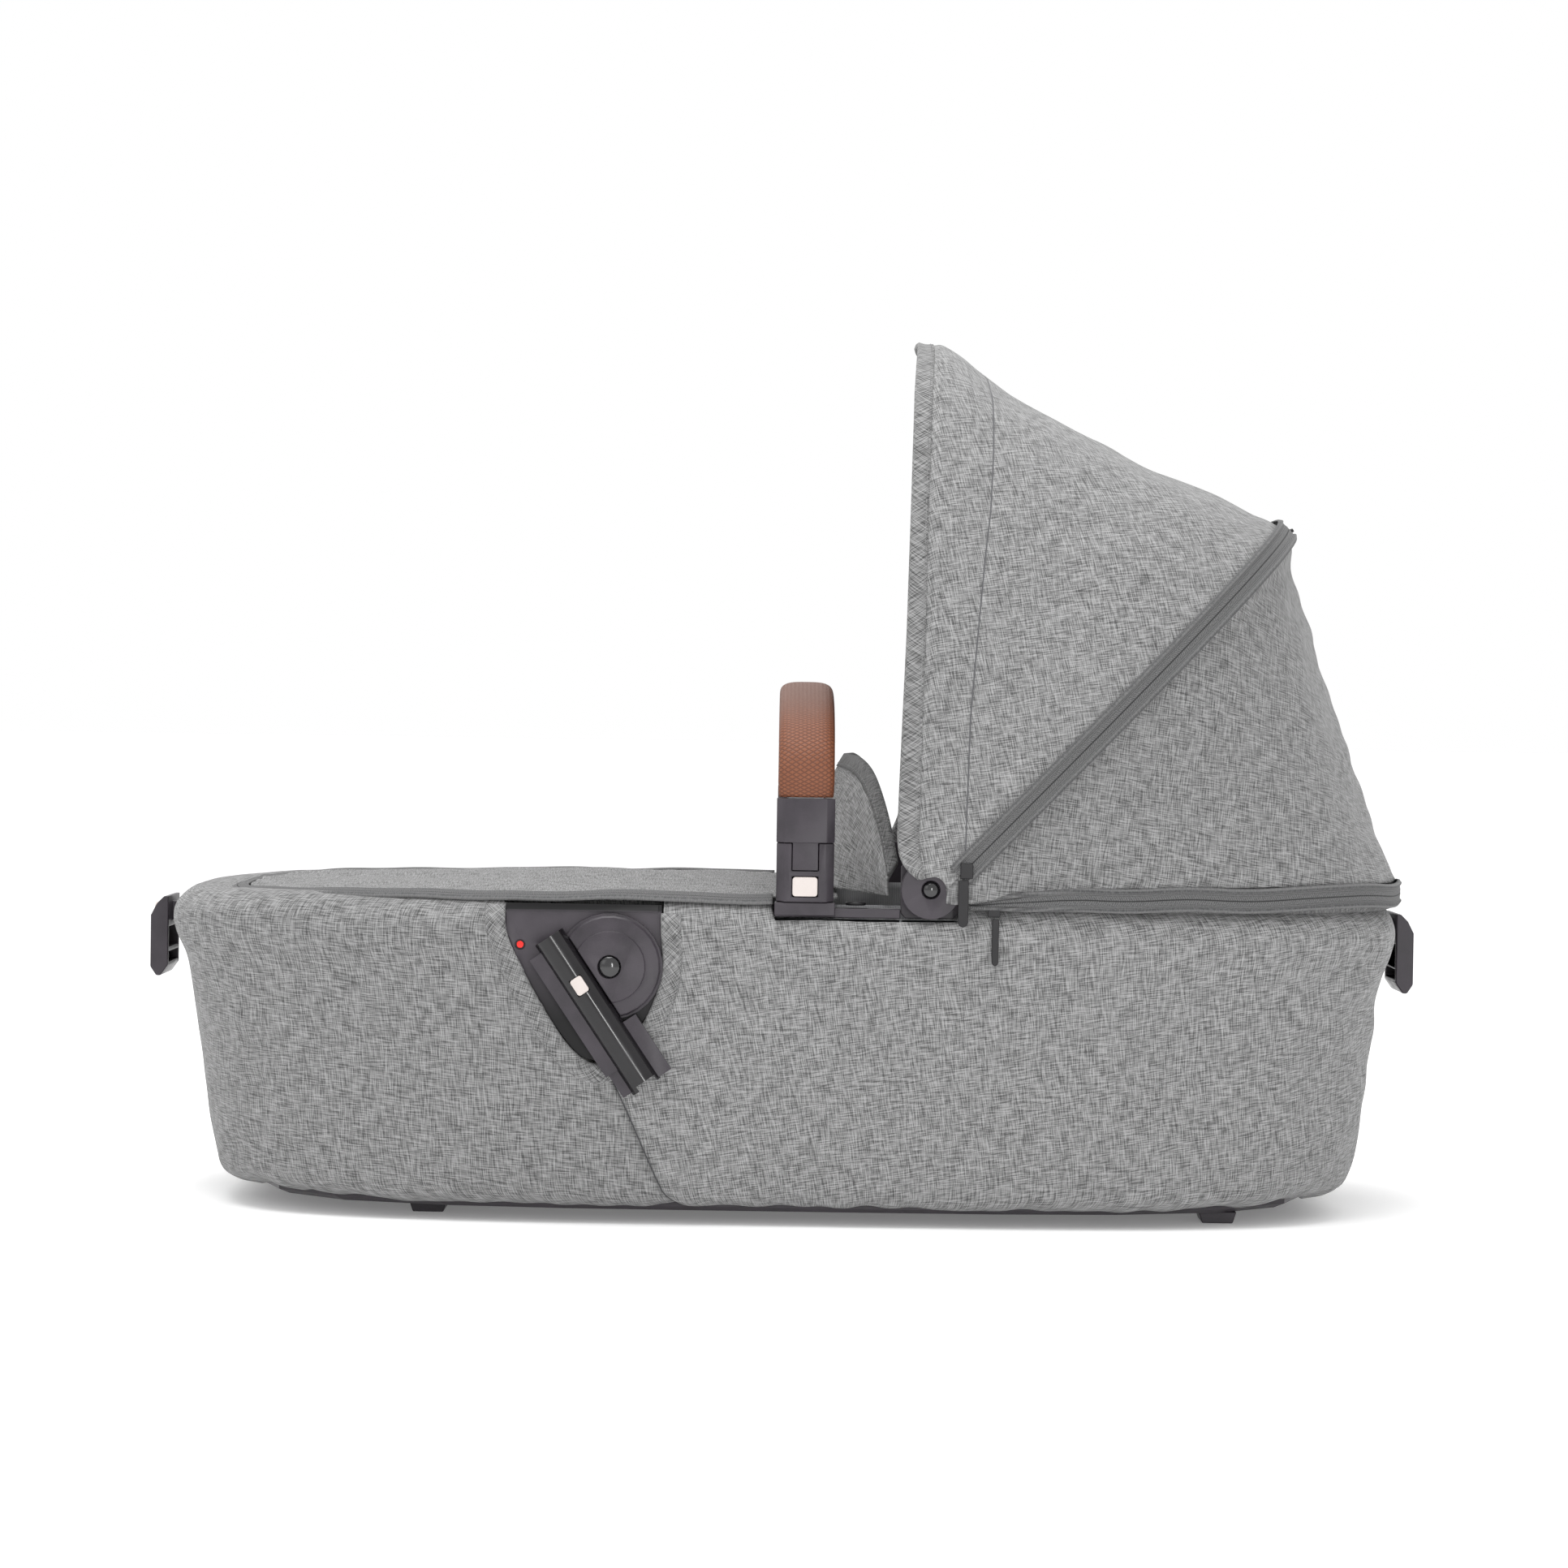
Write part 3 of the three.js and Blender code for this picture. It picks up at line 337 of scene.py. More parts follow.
def woven_melange(name, dark, light, turn=0.0, contrast=1.0, seam="#48484a", patch=0.03):
    """Plain-woven polyester from mottled yarn: each thread is light for a stretch and dark for the next, so
    the eye sees a fine hatch of short upright and level strokes. turn is the cloth's grain, in degrees."""
    material, tree, shader = new_material(
        name, Roughness=0.92, Specular_IOR_Level=0.25, Sheen_Weight=0.12, Sheen_Roughness=0.5
    )
    place = add(tree, "UVMap", uv_map="cloth").outputs[0]
    grain = add(tree, "Mapping", {"Vector": place, "Rotation": (0, 0, math.radians(turn))}).outputs[0]
    strokes = []
    for length, width in (((1, 0), (0, 1)), ((0, 1), (1, 0))):
        # Each thread is set 0.37 of a slub beside its neighbour, so that the slubs don't line up in blocks.
        run = tuple(a / SLUB + 0.37 * b / THREAD for a, b in zip(length, width)) + (0,)
        run = add(tree, "VectorMath", {0: grain, 1: run}, operation="DOT_PRODUCT").outputs["Value"]
        rank = tuple(b / THREAD for b in width) + (0,)
        rank = add(tree, "VectorMath", {0: grain, 1: rank}, operation="DOT_PRODUCT").outputs["Value"]
        yarn = add(tree, "CombineXYZ", {0: run, 1: rank}).outputs[0]
        noise = add(tree, "TexNoise", {"Vector": yarn, "Scale": 1.0, "Detail": 1.6, "Roughness": 0.55},
                    noise_dimensions="2D")
        strokes.append(noise.outputs["Fac"])
    crossed = add(tree, "Math", {0: strokes[0], 1: strokes[1]}, operation="ADD").outputs[0]
    blotch = add(tree, "Mapping", {"Vector": grain, "Scale": (1 / 22, 1 / 22, 1)}).outputs[0]
    blotch = add(tree, "TexNoise", {"Vector": blotch, "Scale": 1.0, "Detail": 2.0}).outputs["Fac"]
    blotch = add(tree, "Math", {0: blotch, 1: patch * 2, 2: -patch}, operation="MULTIPLY_ADD").outputs[0]
    crossed = add(tree, "Math", {0: crossed, 1: blotch}, operation="ADD").outputs[0]
    half = 0.265 / contrast
    share = add(tree, "MapRange", {"Value": crossed, "From Min": 1 - half, "From Max": 1 + half})
    colour = add(
        tree, "Mix", {0: share.outputs[0], 6: linear(dark), 7: linear(light)}, data_type="RGBA"
    ).outputs[2]
    height = crossed
    if seam:
        away = add(tree, "Attribute", attribute_name="seam_mm").outputs["Fac"]
        away = add(tree, "Math", {0: away}, operation="ABSOLUTE").outputs[0]
        valley = add(tree, "MapRange", {"Value": away, "From Min": 0.25, "From Max": 0.75}).outputs[0]
        colour = add(
            tree, "Mix", {0: valley, 6: linear(seam), 7: colour}, data_type="RGBA"
        ).outputs[2]
        slope = add(tree, "MapRange", {"Value": away, "From Min": 0.0, "From Max": 3.0}).outputs[0]
        height = add(tree, "Math", {0: slope, 1: 2.4, 2: crossed}, operation="MULTIPLY_ADD").outputs[0]
    bump = add(tree, "Bump", {"Height": height, "Distance": 0.00035, "Strength": 0.55})
    tree.links.new(colour, shader.inputs["Base Color"])
    tree.links.new(bump.outputs[0], shader.inputs["Normal"])
    return material


def zip_tape_cloth(name):
    """Woven polyester zip tape with a reverse coil: cords of the weave run along it, and the coil's turns
    press through as fine bars on both sides of the closing line. The map's v is zero on that line."""
    material, tree, shader = new_material(name, Roughness=0.8, Specular_IOR_Level=0.3, Sheen_Weight=0.08)
    place = add(tree, "UVMap", uv_map="cloth").outputs[0]
    parts = add(tree, "SeparateXYZ", {0: place})
    side = add(tree, "Math", {0: parts.outputs[1]}, operation="ABSOLUTE").outputs[0]
    slant = add(tree, "Math", {0: side, 1: 0.6, 2: parts.outputs[0]}, operation="MULTIPLY_ADD").outputs[0]
    coil = add(tree, "Math", {0: slant, 1: 2 * math.pi / 1.5}, operation="MULTIPLY").outputs[0]
    coil = add(tree, "Math", {0: coil}, operation="SINE").outputs[0]
    cords = add(tree, "Math", {0: side, 1: 2 * math.pi / 1.3}, operation="MULTIPLY").outputs[0]
    cords = add(tree, "Math", {0: cords}, operation="COSINE").outputs[0]
    near = add(tree, "MapRange", {"Value": side, "From Min": 2.2, "From Max": 3.4}).outputs[0]
    relief = add(tree, "Mix", {0: near, 2: coil, 3: cords}, data_type="FLOAT").outputs[0]
    fuzz = add(tree, "TexNoise", {"Vector": place, "Scale": 1.1, "Detail": 3.0}).outputs["Fac"]
    tone = add(tree, "Math", {0: relief, 1: 0.16, 2: fuzz}, operation="MULTIPLY_ADD").outputs[0]
    tone = add(tree, "MapRange", {"Value": tone, "From Min": 0.25, "From Max": 0.8}).outputs[0]
    colour = add(
        tree, "Mix", {0: tone, 6: linear("#454546"), 7: linear("#6e6e6e")}, data_type="RGBA"
    ).outputs[2]
    line = add(tree, "MapRange", {"Value": side, "From Min": 0.25, "From Max": 0.75}).outputs[0]
    colour = add(tree, "Mix", {0: line, 6: linear("#242425"), 7: colour}, data_type="RGBA").outputs[2]
    bump = add(tree, "Bump", {"Height": relief, "Distance": 0.0002, "Strength": 0.6})
    tree.links.new(colour, shader.inputs["Base Color"])
    tree.links.new(bump.outputs[0], shader.inputs["Normal"])
    return material


def moulded_plastic(name, tone, worn, roughness, grain, relief, specular=0.28, painted_shade_heights=None):
    """Injection-moulded plastic with a spark-eroded texture: a fine grain that breaks up the gloss, and
    faintly lighter patches where hands rub it. The optional four heights in millimetres give painted shade:
    the colour is painted black below the first and above the last, and plain between the middle two."""
    material, tree, shader = new_material(name, Roughness=roughness, Specular_IOR_Level=specular)
    place = add(tree, "TexCoord").outputs["Object"]
    grit = add(tree, "TexNoise", {"Vector": place, "Scale": 1 / (grain * MM), "Detail": 2.0}).outputs["Fac"]
    rub = add(tree, "TexNoise", {"Vector": place, "Scale": 1 / (18 * MM), "Detail": 3.0}).outputs["Fac"]
    share = add(tree, "Math", {0: grit, 1: 0.5, 2: rub}, operation="MULTIPLY_ADD").outputs[0]
    share = add(tree, "MapRange", {"Value": share, "From Min": 0.45, "From Max": 1.05}).outputs[0]
    colour = add(tree, "Mix", {0: share, 6: linear(tone), 7: linear(worn)}, data_type="RGBA").outputs[2]
    # Painted shade: the colour fades to black below and above the given heights.
    if painted_shade_heights:
        height = add(tree, "SeparateXYZ", {0: place}).outputs[2]
        for black, plain in ((painted_shade_heights[0], painted_shade_heights[1]), (painted_shade_heights[3], painted_shade_heights[2])):
            lit = add(tree, "MapRange", {"Value": height, "From Min": black * MM, "From Max": plain * MM})
            colour = add(
                tree, "Mix", {0: lit.outputs[0], 6: linear("#060507"), 7: colour}, data_type="RGBA"
            ).outputs[2]
    rough = add(
        tree, "MapRange", {"Value": rub, "From Min": 0.3, "From Max": 0.7, "To Min": roughness - 0.06,
                           "To Max": roughness + 0.06},
    ).outputs[0]
    bump = add(tree, "Bump", {"Height": grit, "Distance": relief * MM, "Strength": 0.5})
    for value, socket in ((colour, "Base Color"), (rough, "Roughness"), (bump.outputs[0], "Normal")):
        tree.links.new(value, shader.inputs[socket])
    return material


def embossed_leatherette(name):
    """Polyurethane leather embossed with rows of flat pebbles, 3.8 mm wide and 1.8 mm high, each row set
    half a pebble over. The grooves are darker, and the crest of the handle is painted greyer: painted sheen."""
    material, tree, shader = new_material(name, Roughness=0.55, Specular_IOR_Level=0.4)
    place = add(tree, "UVMap", uv_map="cloth").outputs[0]
    scaled = add(tree, "Mapping", {"Vector": place, "Scale": (1 / 3.8, 1 / 1.8, 1)}).outputs[0]
    turned = add(tree, "Mapping", {"Vector": scaled, "Rotation": (0, 0, math.radians(45)),
                                   "Scale": (1.4142, 1.4142, 1)}).outputs[0]
    cells = add(tree, "TexVoronoi", {"Vector": turned, "Scale": 0.72, "Randomness": 0.12},
                voronoi_dimensions="2D", feature="DISTANCE_TO_EDGE").outputs["Distance"]
    dome = add(tree, "MapRange", {"Value": cells, "From Min": 0.0, "From Max": 0.28},
               interpolation_type="SMOOTHSTEP").outputs[0]
    # Painted sheen: where crest is set, the handle's top is painted greyer, as if lit from the sky.
    crest = add(tree, "Attribute", attribute_name="crest").outputs["Fac"]
    mottle = add(tree, "TexNoise", {"Vector": place, "Scale": 0.12, "Detail": 3.0}).outputs["Fac"]
    warm = add(tree, "Mix", {0: mottle, 6: linear("#703f26"), 7: linear("#834f34")}, data_type="RGBA")
    skin = add(tree, "Mix", {0: crest, 6: warm.outputs[2], 7: linear("#6d5850")}, data_type="RGBA")
    colour = add(tree, "Mix", {0: dome, 6: linear("#5a3220"), 7: skin.outputs[2]}, data_type="RGBA")
    grit = add(tree, "TexNoise", {"Vector": place, "Scale": 2.2, "Detail": 2.0}).outputs["Fac"]
    height = add(tree, "Math", {0: grit, 1: 0.12, 2: dome}, operation="MULTIPLY_ADD").outputs[0]
    bump = add(tree, "Bump", {"Height": height, "Distance": 0.00035, "Strength": 0.7})
    tree.links.new(colour.outputs[2], shader.inputs["Base Color"])
    tree.links.new(bump.outputs[0], shader.inputs["Normal"])
    return material


def knitted_cloth(name, tone, valley, wale):
    """Warp-knitted jersey: small raised loops in columns, one wale apart in millimetres, to soften light."""
    material, tree, shader = new_material(name, Roughness=0.95, Specular_IOR_Level=0.2, Sheen_Weight=0.2)
    place = add(tree, "TexCoord").outputs["Object"]
    lift = 0
    for axis, pitch in ((0, wale), (1, wale * 1.3)):
        part = add(tree, "SeparateXYZ", {0: place}).outputs[axis]
        wave = add(tree, "Math", {0: part, 1: 2 * math.pi / (pitch * MM)}, operation="MULTIPLY").outputs[0]
        wave = add(tree, "Math", {0: wave}, operation="SINE").outputs[0]
        lift = add(tree, "Math", {0: wave, 1: lift}, operation="ADD").outputs[0]
    share = add(tree, "MapRange", {"Value": lift, "From Min": -2.0, "From Max": 2.0}).outputs[0]
    colour = add(tree, "Mix", {0: share, 6: linear(valley), 7: linear(tone)}, data_type="RGBA").outputs[2]
    bump = add(tree, "Bump", {"Height": share, "Distance": 0.0003, "Strength": 0.5})
    tree.links.new(colour, shader.inputs["Base Color"])
    tree.links.new(bump.outputs[0], shader.inputs["Normal"])
    return material


def drawn_metal(name, tone, bright, roughness, lines):
    """Extruded or drawn metal with die lines: fine scratches along X and Y of the given spacing in mm."""
    material, tree, shader = new_material(name, Metallic=1.0, Roughness=roughness)
    place = add(tree, "TexCoord").outputs["Object"]
    scale = (1 / (60 * MM), 1 / (60 * MM), 1 / (lines * MM))
    place = add(tree, "Mapping", {"Vector": place, "Scale": scale}).outputs[0]
    noise = add(tree, "TexNoise", {"Vector": place, "Scale": 1.0, "Detail": 3.0}).outputs["Fac"]
    colour = add(tree, "Mix", {0: noise, 6: linear(tone), 7: linear(bright)}, data_type="RGBA").outputs[2]
    rough = add(tree, "MapRange", {"Value": noise, "To Min": roughness - 0.1, "To Max": roughness + 0.1})
    tree.links.new(colour, shader.inputs["Base Color"])
    tree.links.new(rough.outputs[0], shader.inputs["Roughness"])
    return material


# ---- camera, light and floor ----
def studio():
    """The camera stands 3 m in front of the right side, 340 mm up, pitched down and rolled a little. Large
    soft lamps stand above and in front, and the white surroundings fill the shadows."""
    camera = bpy.data.cameras.new("camera")
    camera.lens, camera.sensor_width = 100.49, 36.0
    camera.clip_start, camera.clip_end = 0.05, 200.0
    holder = bpy.data.objects.new("camera", camera)
    turn = Matrix.Rotation(math.radians(88.87), 4, "X") @ Matrix.Rotation(math.radians(0.85), 4, "Z")
    holder.matrix_world = Matrix.Translation((0, -3.0, 0.34)) @ turn
    bpy.context.scene.collection.objects.link(holder)
    bpy.context.scene.camera = holder
    for name, place, size, power in (
        ("overhead", (-0.3, -0.3, 2.6), (2.2, 2.2), 58.0),
        ("front left", (-1.9, -2.4, 1.5), (1.4, 1.4), 4.5),
        ("strip", (0.55, -3.15, 0.5), (0.15, 0.9), 11.5),
    ):
        lamp = bpy.data.lights.new(name, "AREA")
        lamp.shape, lamp.energy = "RECTANGLE", power
        lamp.size, lamp.size_y = size
        stand = bpy.data.objects.new(name, lamp)
        aim = (Vector((0, 0, 0.25)) - Vector(place)).to_track_quat("-Z", "Y")
        stand.matrix_world = Matrix.Translation(place) @ aim.to_matrix().to_4x4()
        bpy.context.scene.collection.objects.link(stand)
    world = bpy.data.worlds.new("white surroundings")
    world.use_nodes = True
    world.node_tree.nodes["Background"].inputs[0].default_value = (1, 1, 1, 1)
    world.node_tree.nodes["Background"].inputs[1].default_value = 1.0
    bpy.context.scene.world = world
    bpy.context.scene.view_settings.view_transform = "Standard"
    h = FLOOR_HALF / MM
    corners = np.array([[[-h, -h, 0], [h, -h, 0]], [[-h, h, 0], [h, h, 0]]], float)
    floor = surface("studio_floor", corners, away_from=np.array([0, 0, -1.0]))
    paper, tree, shader = new_material(
        "white paper sweep", Roughness=0.9, Specular_IOR_Level=0.1, Emission_Color=(1, 1, 1, 1),
        Emission_Strength=0.16,
    )
    fibre = add(tree, "TexCoord").outputs["Object"]
    fibre = add(tree, "TexNoise", {"Vector": fibre, "Scale": 30.0, "Detail": 2.0}).outputs["Fac"]
    tone = add(tree, "Mix", {0: fibre, 6: linear("#f4f4f4"), 7: linear("#f8f8f8")}, data_type="RGBA")
    tree.links.new(tone.outputs[2], shader.inputs["Base Color"])
    floor.data.materials.append(paper)


studio()


foot_cloth = woven_melange("woven melange, foot end", "#474747", "#959595", turn=2)
head_cloth = woven_melange("woven melange, head end", "#4b4b4b", "#9b9b9b", turn=-9)
canopy_cloth = woven_melange("woven melange, canopy", "#4d4d4d", "#9d9d9d", turn=-11, seam="#565658")
rear_cloth = woven_melange("woven melange, canopy rear", "#494949", "#949494", turn=7)
bias_cloth = woven_melange("woven melange cut on the bias", "#454545", "#949494", turn=45, seam=False)
apron_cloth = woven_melange("woven melange, apron", "#474747", "#929292", turn=1, seam=False)
flap_cloth = woven_melange("woven melange, wind flap", "#505050", "#a4a4a4", turn=88, seam=False)
binding_cloth = woven_melange("woven melange binding, dark", "#3a3a3a", "#777777", turn=45, seam=False)
zip_cloth = zip_tape_cloth("woven zip tape with reverse coil")
lining_cloth = knitted_cloth("knitted jersey lining", "#98989a", "#7c7c7e", 1.6)
mattress_cloth = knitted_cloth("knitted spacer mattress cover", "#d4d4d1", "#b4b4b1", 2.2)
thread = moulded_plastic("polyester sewing thread", "#6c6c6d", "#8e8e8e", 0.8, 0.6, 0.05)
plastic = moulded_plastic("moulded polyamide, spark-eroded", "#302d31", "#423d43", 0.36, 0.5, 0.035)
# The adapter's plate falls away behind the arm and under the rim, where no light reaches it. That shade
# is painted into its colour: black below 132 mm and above 203 mm, plain from 176 to 201.5 mm.
plate_plastic_painted_shade = moulded_plastic(
    "moulded polyamide, painted shade", "#3a363b", "#4b464c", 0.36, 0.5, 0.035, painted_shade_heights=(132, 176, 201.5, 203)
)
zip_plastic = moulded_plastic("moulded acetal, satin", "#121113", "#1c1b1d", 0.34, 0.6, 0.02)
board = moulded_plastic("extruded polypropylene board", "#d3d3cf", "#e2e2df", 0.6, 1.2, 0.05)
white_plastic = moulded_plastic("moulded white ABS", "#c4bbb6", "#cfc7c3", 0.42, 0.6, 0.02)
gloss_plastic = moulded_plastic("polished black polycarbonate", "#0b0b0d", "#141316", 0.12, 2.0, 0.0, 0.8)
tube_plastic = moulded_plastic("polished black polyamide", "#0d0b0e", "#141215", 0.17, 9.0, 0.06, 0.45)
red_plastic = moulded_plastic("translucent red indicator", "#e3201d", "#f03a33", 0.25, 1.0, 0.0)
skin = embossed_leatherette("embossed leatherette")
aluminium = drawn_metal("extruded aluminium", "#8d9095", "#b4b7ba", 0.35, 0.8)
steel = drawn_metal("drawn spring steel", "#a5a8ab", "#cfd1d3", 0.3, 0.2)


# ---- tub cover ----
cover_low, cover_high = box_mm("cover_foot_end", "cover_head_end")
tub_middle = np.array([(cover_low[0] + cover_high[0]) / 2, 0.0, 110.0])
half_length, half_width = (cover_high - cover_low)[:2] / 2
roll_top = cover_high[2]
RIM_POWER = 3.8  # exponent of the rim's plan, a rounded rectangle
# Wall from its lower edge over the rim roll: inset at the ends, inset at the sides, depth below the top.
WALL = [
    (56, 26, 199), (41, 18.5, 195.5), (31, 14, 187), (25, 12, 161), (21.5, 10.4, 133), (18, 9, 105),
    (13, 7, 78), (8, 3.6, 50), (2, 1, 33), (0, 0, 21), (3, 2, 11), (10, 8, 4), (20, 17, 0), (30, 26, 3),
    (36, 31, 13), (38, 33, 29),
]


def plan(angle):
    """Point of |x|^n + |y|^n = 1 in the direction of the angle, n being the rim's exponent."""
    x, y = np.cos(angle), np.sin(angle)
    radius = (abs(x) ** RIM_POWER + abs(y) ** RIM_POWER) ** (-1 / RIM_POWER)
    return radius * x, radius * y


rim_angle = np.linspace(-math.pi, math.pi, 8001)
rim_x, rim_y = plan(rim_angle)
rim_steps = np.hypot(np.diff(rim_x) * half_length, np.diff(rim_y) * half_width)
rim_along = np.concatenate([[0], np.cumsum(rim_steps)])  # mm round the rim, from the foot end's middle
rim_length = rim_along[-1]


def angle_at(along):
    """Plan angle at a distance round the rim, counted from the middle of the foot end by the right side."""
    return np.interp(np.mod(along, rim_length), rim_along, rim_angle)


def along_at(x):
    """Distance round the rim to a place x on the right side."""
    right = slice(0, 4001)
    return np.interp((x - tub_middle[0]) / half_length, rim_x[right], rim_along[right])


def ring(along, end_inset, side_inset, z):
    """Points of the loop that lies inside the rim's outline by the two insets."""
    x, y = plan(angle_at(along))
    x, y = tub_middle[0] + (half_length - end_inset) * x, (half_width - side_inset) * y
    return np.stack(np.broadcast_arrays(x, y, z), axis=-1)


# Window in each side that shows the adapter, as X and Z from the rim down round the tip and up again.
WINDOW = smooth_line(
    [(-177.5, 216), (-177.5, 190), (-168, 167), (-152, 138), (-137, 116), (-124, 105), (-112, 103.5),
     (-99, 113), (-86, 131), (-78, 150), (-74.4, 170), (-75.5, 192), (-75.5, 216)], 200,
)
CLOTH_FRONT = 211.3  # |Y| that the cloth is drawn out to round the window, past the plate behind it


def window_gap(x, z):
    """Distance from points (x, z) to the window's outline, negative inside it, and its nearest point."""
    p = np.stack([np.asarray(x, float), np.asarray(z, float)], axis=-1)[..., None, :]
    a, b = WINDOW[:-1], WINDOW[1:]
    share = (((p - a) * (b - a)).sum(-1) / ((b - a) ** 2).sum(-1)).clip(0, 1)[..., None]
    nearest = a + share * (b - a)
    distance = np.linalg.norm(p - nearest, axis=-1)
    best = distance.argmin(-1)
    point = np.take_along_axis(nearest, best[..., None, None], axis=-2)[..., 0, :]
    px, pz = p[..., 0], p[..., 1]
    crosses = (a[:, 1] > pz) != (b[:, 1] > pz)
    slope = (b[:, 0] - a[:, 0]) / np.where(b[:, 1] == a[:, 1], 1e-9, b[:, 1] - a[:, 1])
    inside = (crosses & (px < a[:, 0] + (pz - a[:, 1]) * slope)).sum(-1) % 2 == 1
    return np.where(inside, -1, 1) * distance.min(-1), point


def wall_y(x, z):
    """|Y| of the wall's outer face at places x and heights z below the rim's widest line."""
    heights = [roll_top - row[2] for row in WALL[:10]]
    end = np.interp(z, heights, [row[0] for row in WALL[:10]])
    side = np.interp(z, heights, [row[1] for row in WALL[:10]])
    x = np.abs((x - tub_middle[0]) / (half_length - end))
    return (half_width - side) * (1 - x.clip(0, 1) ** RIM_POWER) ** (1 / RIM_POWER)


def drawn_out(x, z, gap):
    """How far the cloth stands off the wall near the window, so that the plate lies behind its edge."""
    return np.clip(CLOTH_FRONT - wall_y(x, z), 0, 9) * bell(np.maximum(gap, 0), 42) * step(z, 60, 100)


def seam_x(z):
    """The side seam slopes from the window's tip down towards the head end."""
    return -105 + (78 - z) * 0.43


def cover_grid(first, last, columns, rows):
    """The wall profile carried round the rim between two seams. first and last give, for each height, the
    distance round the rim at which the piece starts and ends. Its normals stand square to the wall."""
    profile = smooth_line(WALL, rows)
    z = roll_top - profile[:, 2][:, None] + np.zeros((1, columns))
    share = np.linspace(0, 1, columns)[None]
    along = first(z) + (last(z) - first(z)) * share
    over = step(profile[:, 0], 12, 20) * (np.arange(rows) > rows * 0.6)
    at_foot = step(-np.cos(angle_at(along)), 0.75, 0.93)
    grid = ring(along, profile[:, :1] + 13.0 * over[:, None] * at_foot, profile[:, 1:2], z)
    grid[..., 2] -= 2.0 * over[:, None] * at_foot
    n = normals(grid, tub_middle)
    v = np.concatenate([[0], np.cumsum(np.linalg.norm(np.diff(profile[:, 1:], axis=0), axis=1))])[:, None]
    v = np.broadcast_to(v, along.shape)
    uv = np.stack([along, v], axis=-1)
    return grid, n, along, z, uv


def corner_share(along):
    """1 at the four corners of the rim and 0 along its sides."""
    x, y = plan(angle_at(along))
    return bell(abs(x) - 0.93, 0.07) * bell(abs(y) - 0.78, 0.3)


def dress_cover(grid, n, along, z, edge_gap):
    """The waves: broad soft hollows, fan creases under the roll's corners, folds at the head end, a wavy hem,
    a valley along each seam, and the cloth drawn out round the window."""
    v = z
    level = step(z, 12, 40) * (1 - step(z, 196, 206))
    wave = 0.9 * ripple(11, along, v, 110) * level + 0.35 * ripple(12, along, v * 0.6, 38) * level
    corner = corner_share(along)
    fan = np.cos(2 * math.pi * along / 17 + 1.5 * ripple(13, along, v, 60))
    wave = wave + 1.1 * fan * corner * bell(z - 181, 17)
    wave = wave + 0.9 * ripple(14, along * 0.5, v, 30) * corner * level
    head = step(grid[..., 0], 330, 385) * bell(z - 128, 42)
    slanting = np.cos(2 * math.pi * (z + 0.55 * (along - along_at(395.0))) / 36)
    drawn = 1.6 * slanting * bell(np.abs(grid[..., 1]) - 150, 60) + 0.8 * ripple(15, along, v, 55)
    wave = wave + head * drawn
    wave = wave + 0.6 * ripple(16, along, 0 * v, 34) * bell(z - 12, 9)
    wave = wave - 1.4 * bell(edge_gap, 3.2)
    gap, nearest = window_gap(grid[..., 0], z)
    on_side = np.abs(grid[..., 1]) > 150
    wave = np.where(on_side, wave * step(gap, -2, 26), wave)
    out = np.where(on_side & (z < 196), drawn_out(grid[..., 0], z, gap), 0)
    dressed = grid + n * wave[..., None]
    dressed[..., 1] += np.sign(grid[..., 1]) * out
    dressed[..., 2] += 0.6 * ripple(17, along, 0 * v, 85) * bell(z - 12, 7) + 5.0 * corner * bell(z - 12, 12)
    snap = on_side & (np.abs(gap) < 2.2) & (np.abs(grid[..., 1]) > 198)
    dressed[..., 0] = np.where(snap, nearest[..., 0], dressed[..., 0])
    dressed[..., 2] = np.where(snap & (z < 196), nearest[..., 1], dressed[..., 2])
    return dressed, gap


rail_low = box_mm("rim_rail_right")[0]
BARE_FROM, BARE_TO = -6.0, 113.0  # X span where the rim's plastic shows above the cloth
BARE_Z = rail_low[2] - 0.6


def cell_middles(a):
    """The mean of the four corners of each cell of a grid of values."""
    return (a[:-1, :-1] + a[1:, :-1] + a[:-1, 1:] + a[1:, 1:]) / 4


def cover_piece(name, first, last, columns, rows, material, node):
    grid, n, along, z, uv = cover_grid(first, last, columns, rows)
    edge_gap = np.minimum(along - first(z), last(z) - along)
    dressed, gap = dress_cover(grid, n, along, z, edge_gap)
    x, y = grid[..., 0], np.abs(grid[..., 1])
    bare = (x > BARE_FROM) & (x < BARE_TO) & (y > 150) & (z > BARE_Z - 8)
    dressed[..., 2] = np.where(bare, np.minimum(dressed[..., 2], BARE_Z), dressed[..., 2])
    cx, cy, cz = cell_middles(x), cell_middles(y), cell_middles(z)
    opened = (cell_middles(gap) < 0) & (cy > 199) & (cz > 90)
    stripped = (cx > BARE_FROM) & (cx < BARE_TO) & (cy > 150) & (cz > BARE_Z)
    inner = np.arange(rows - 1)[:, None] >= rows * 0.8
    keep = ~opened & ~(stripped & ~inner)
    keep &= ~((cx > BARE_FROM) & (cx < BARE_TO) & (cy > 150) & inner & (cz > BARE_Z))
    made = surface(name, dressed, uv=uv, away_from=tub_middle, keep=keep, fields={"seam_mm": edge_gap})
    return finish(thicken(made, 2.0), material, "cot", [node])


def seam_right(z):
    """Distance along the rim to the side seam on the right, at a height."""
    return along_at(seam_x(z))


def seam_left(z):
    """The same on the left."""
    return rim_length - along_at(seam_x(z))


def seam_left_before(z):
    """The left seam counted backwards from the rim's start, where the foot end's half begins."""
    return seam_left(z) - rim_length


cover_piece(
    "tub_cover_head", seam_right, seam_left, 420, 84, head_cloth, "cover_head_end",
)
cover_piece(
    "tub_cover_foot", seam_left_before, seam_right, 300, 84, foot_cloth, "cover_foot_end",
)


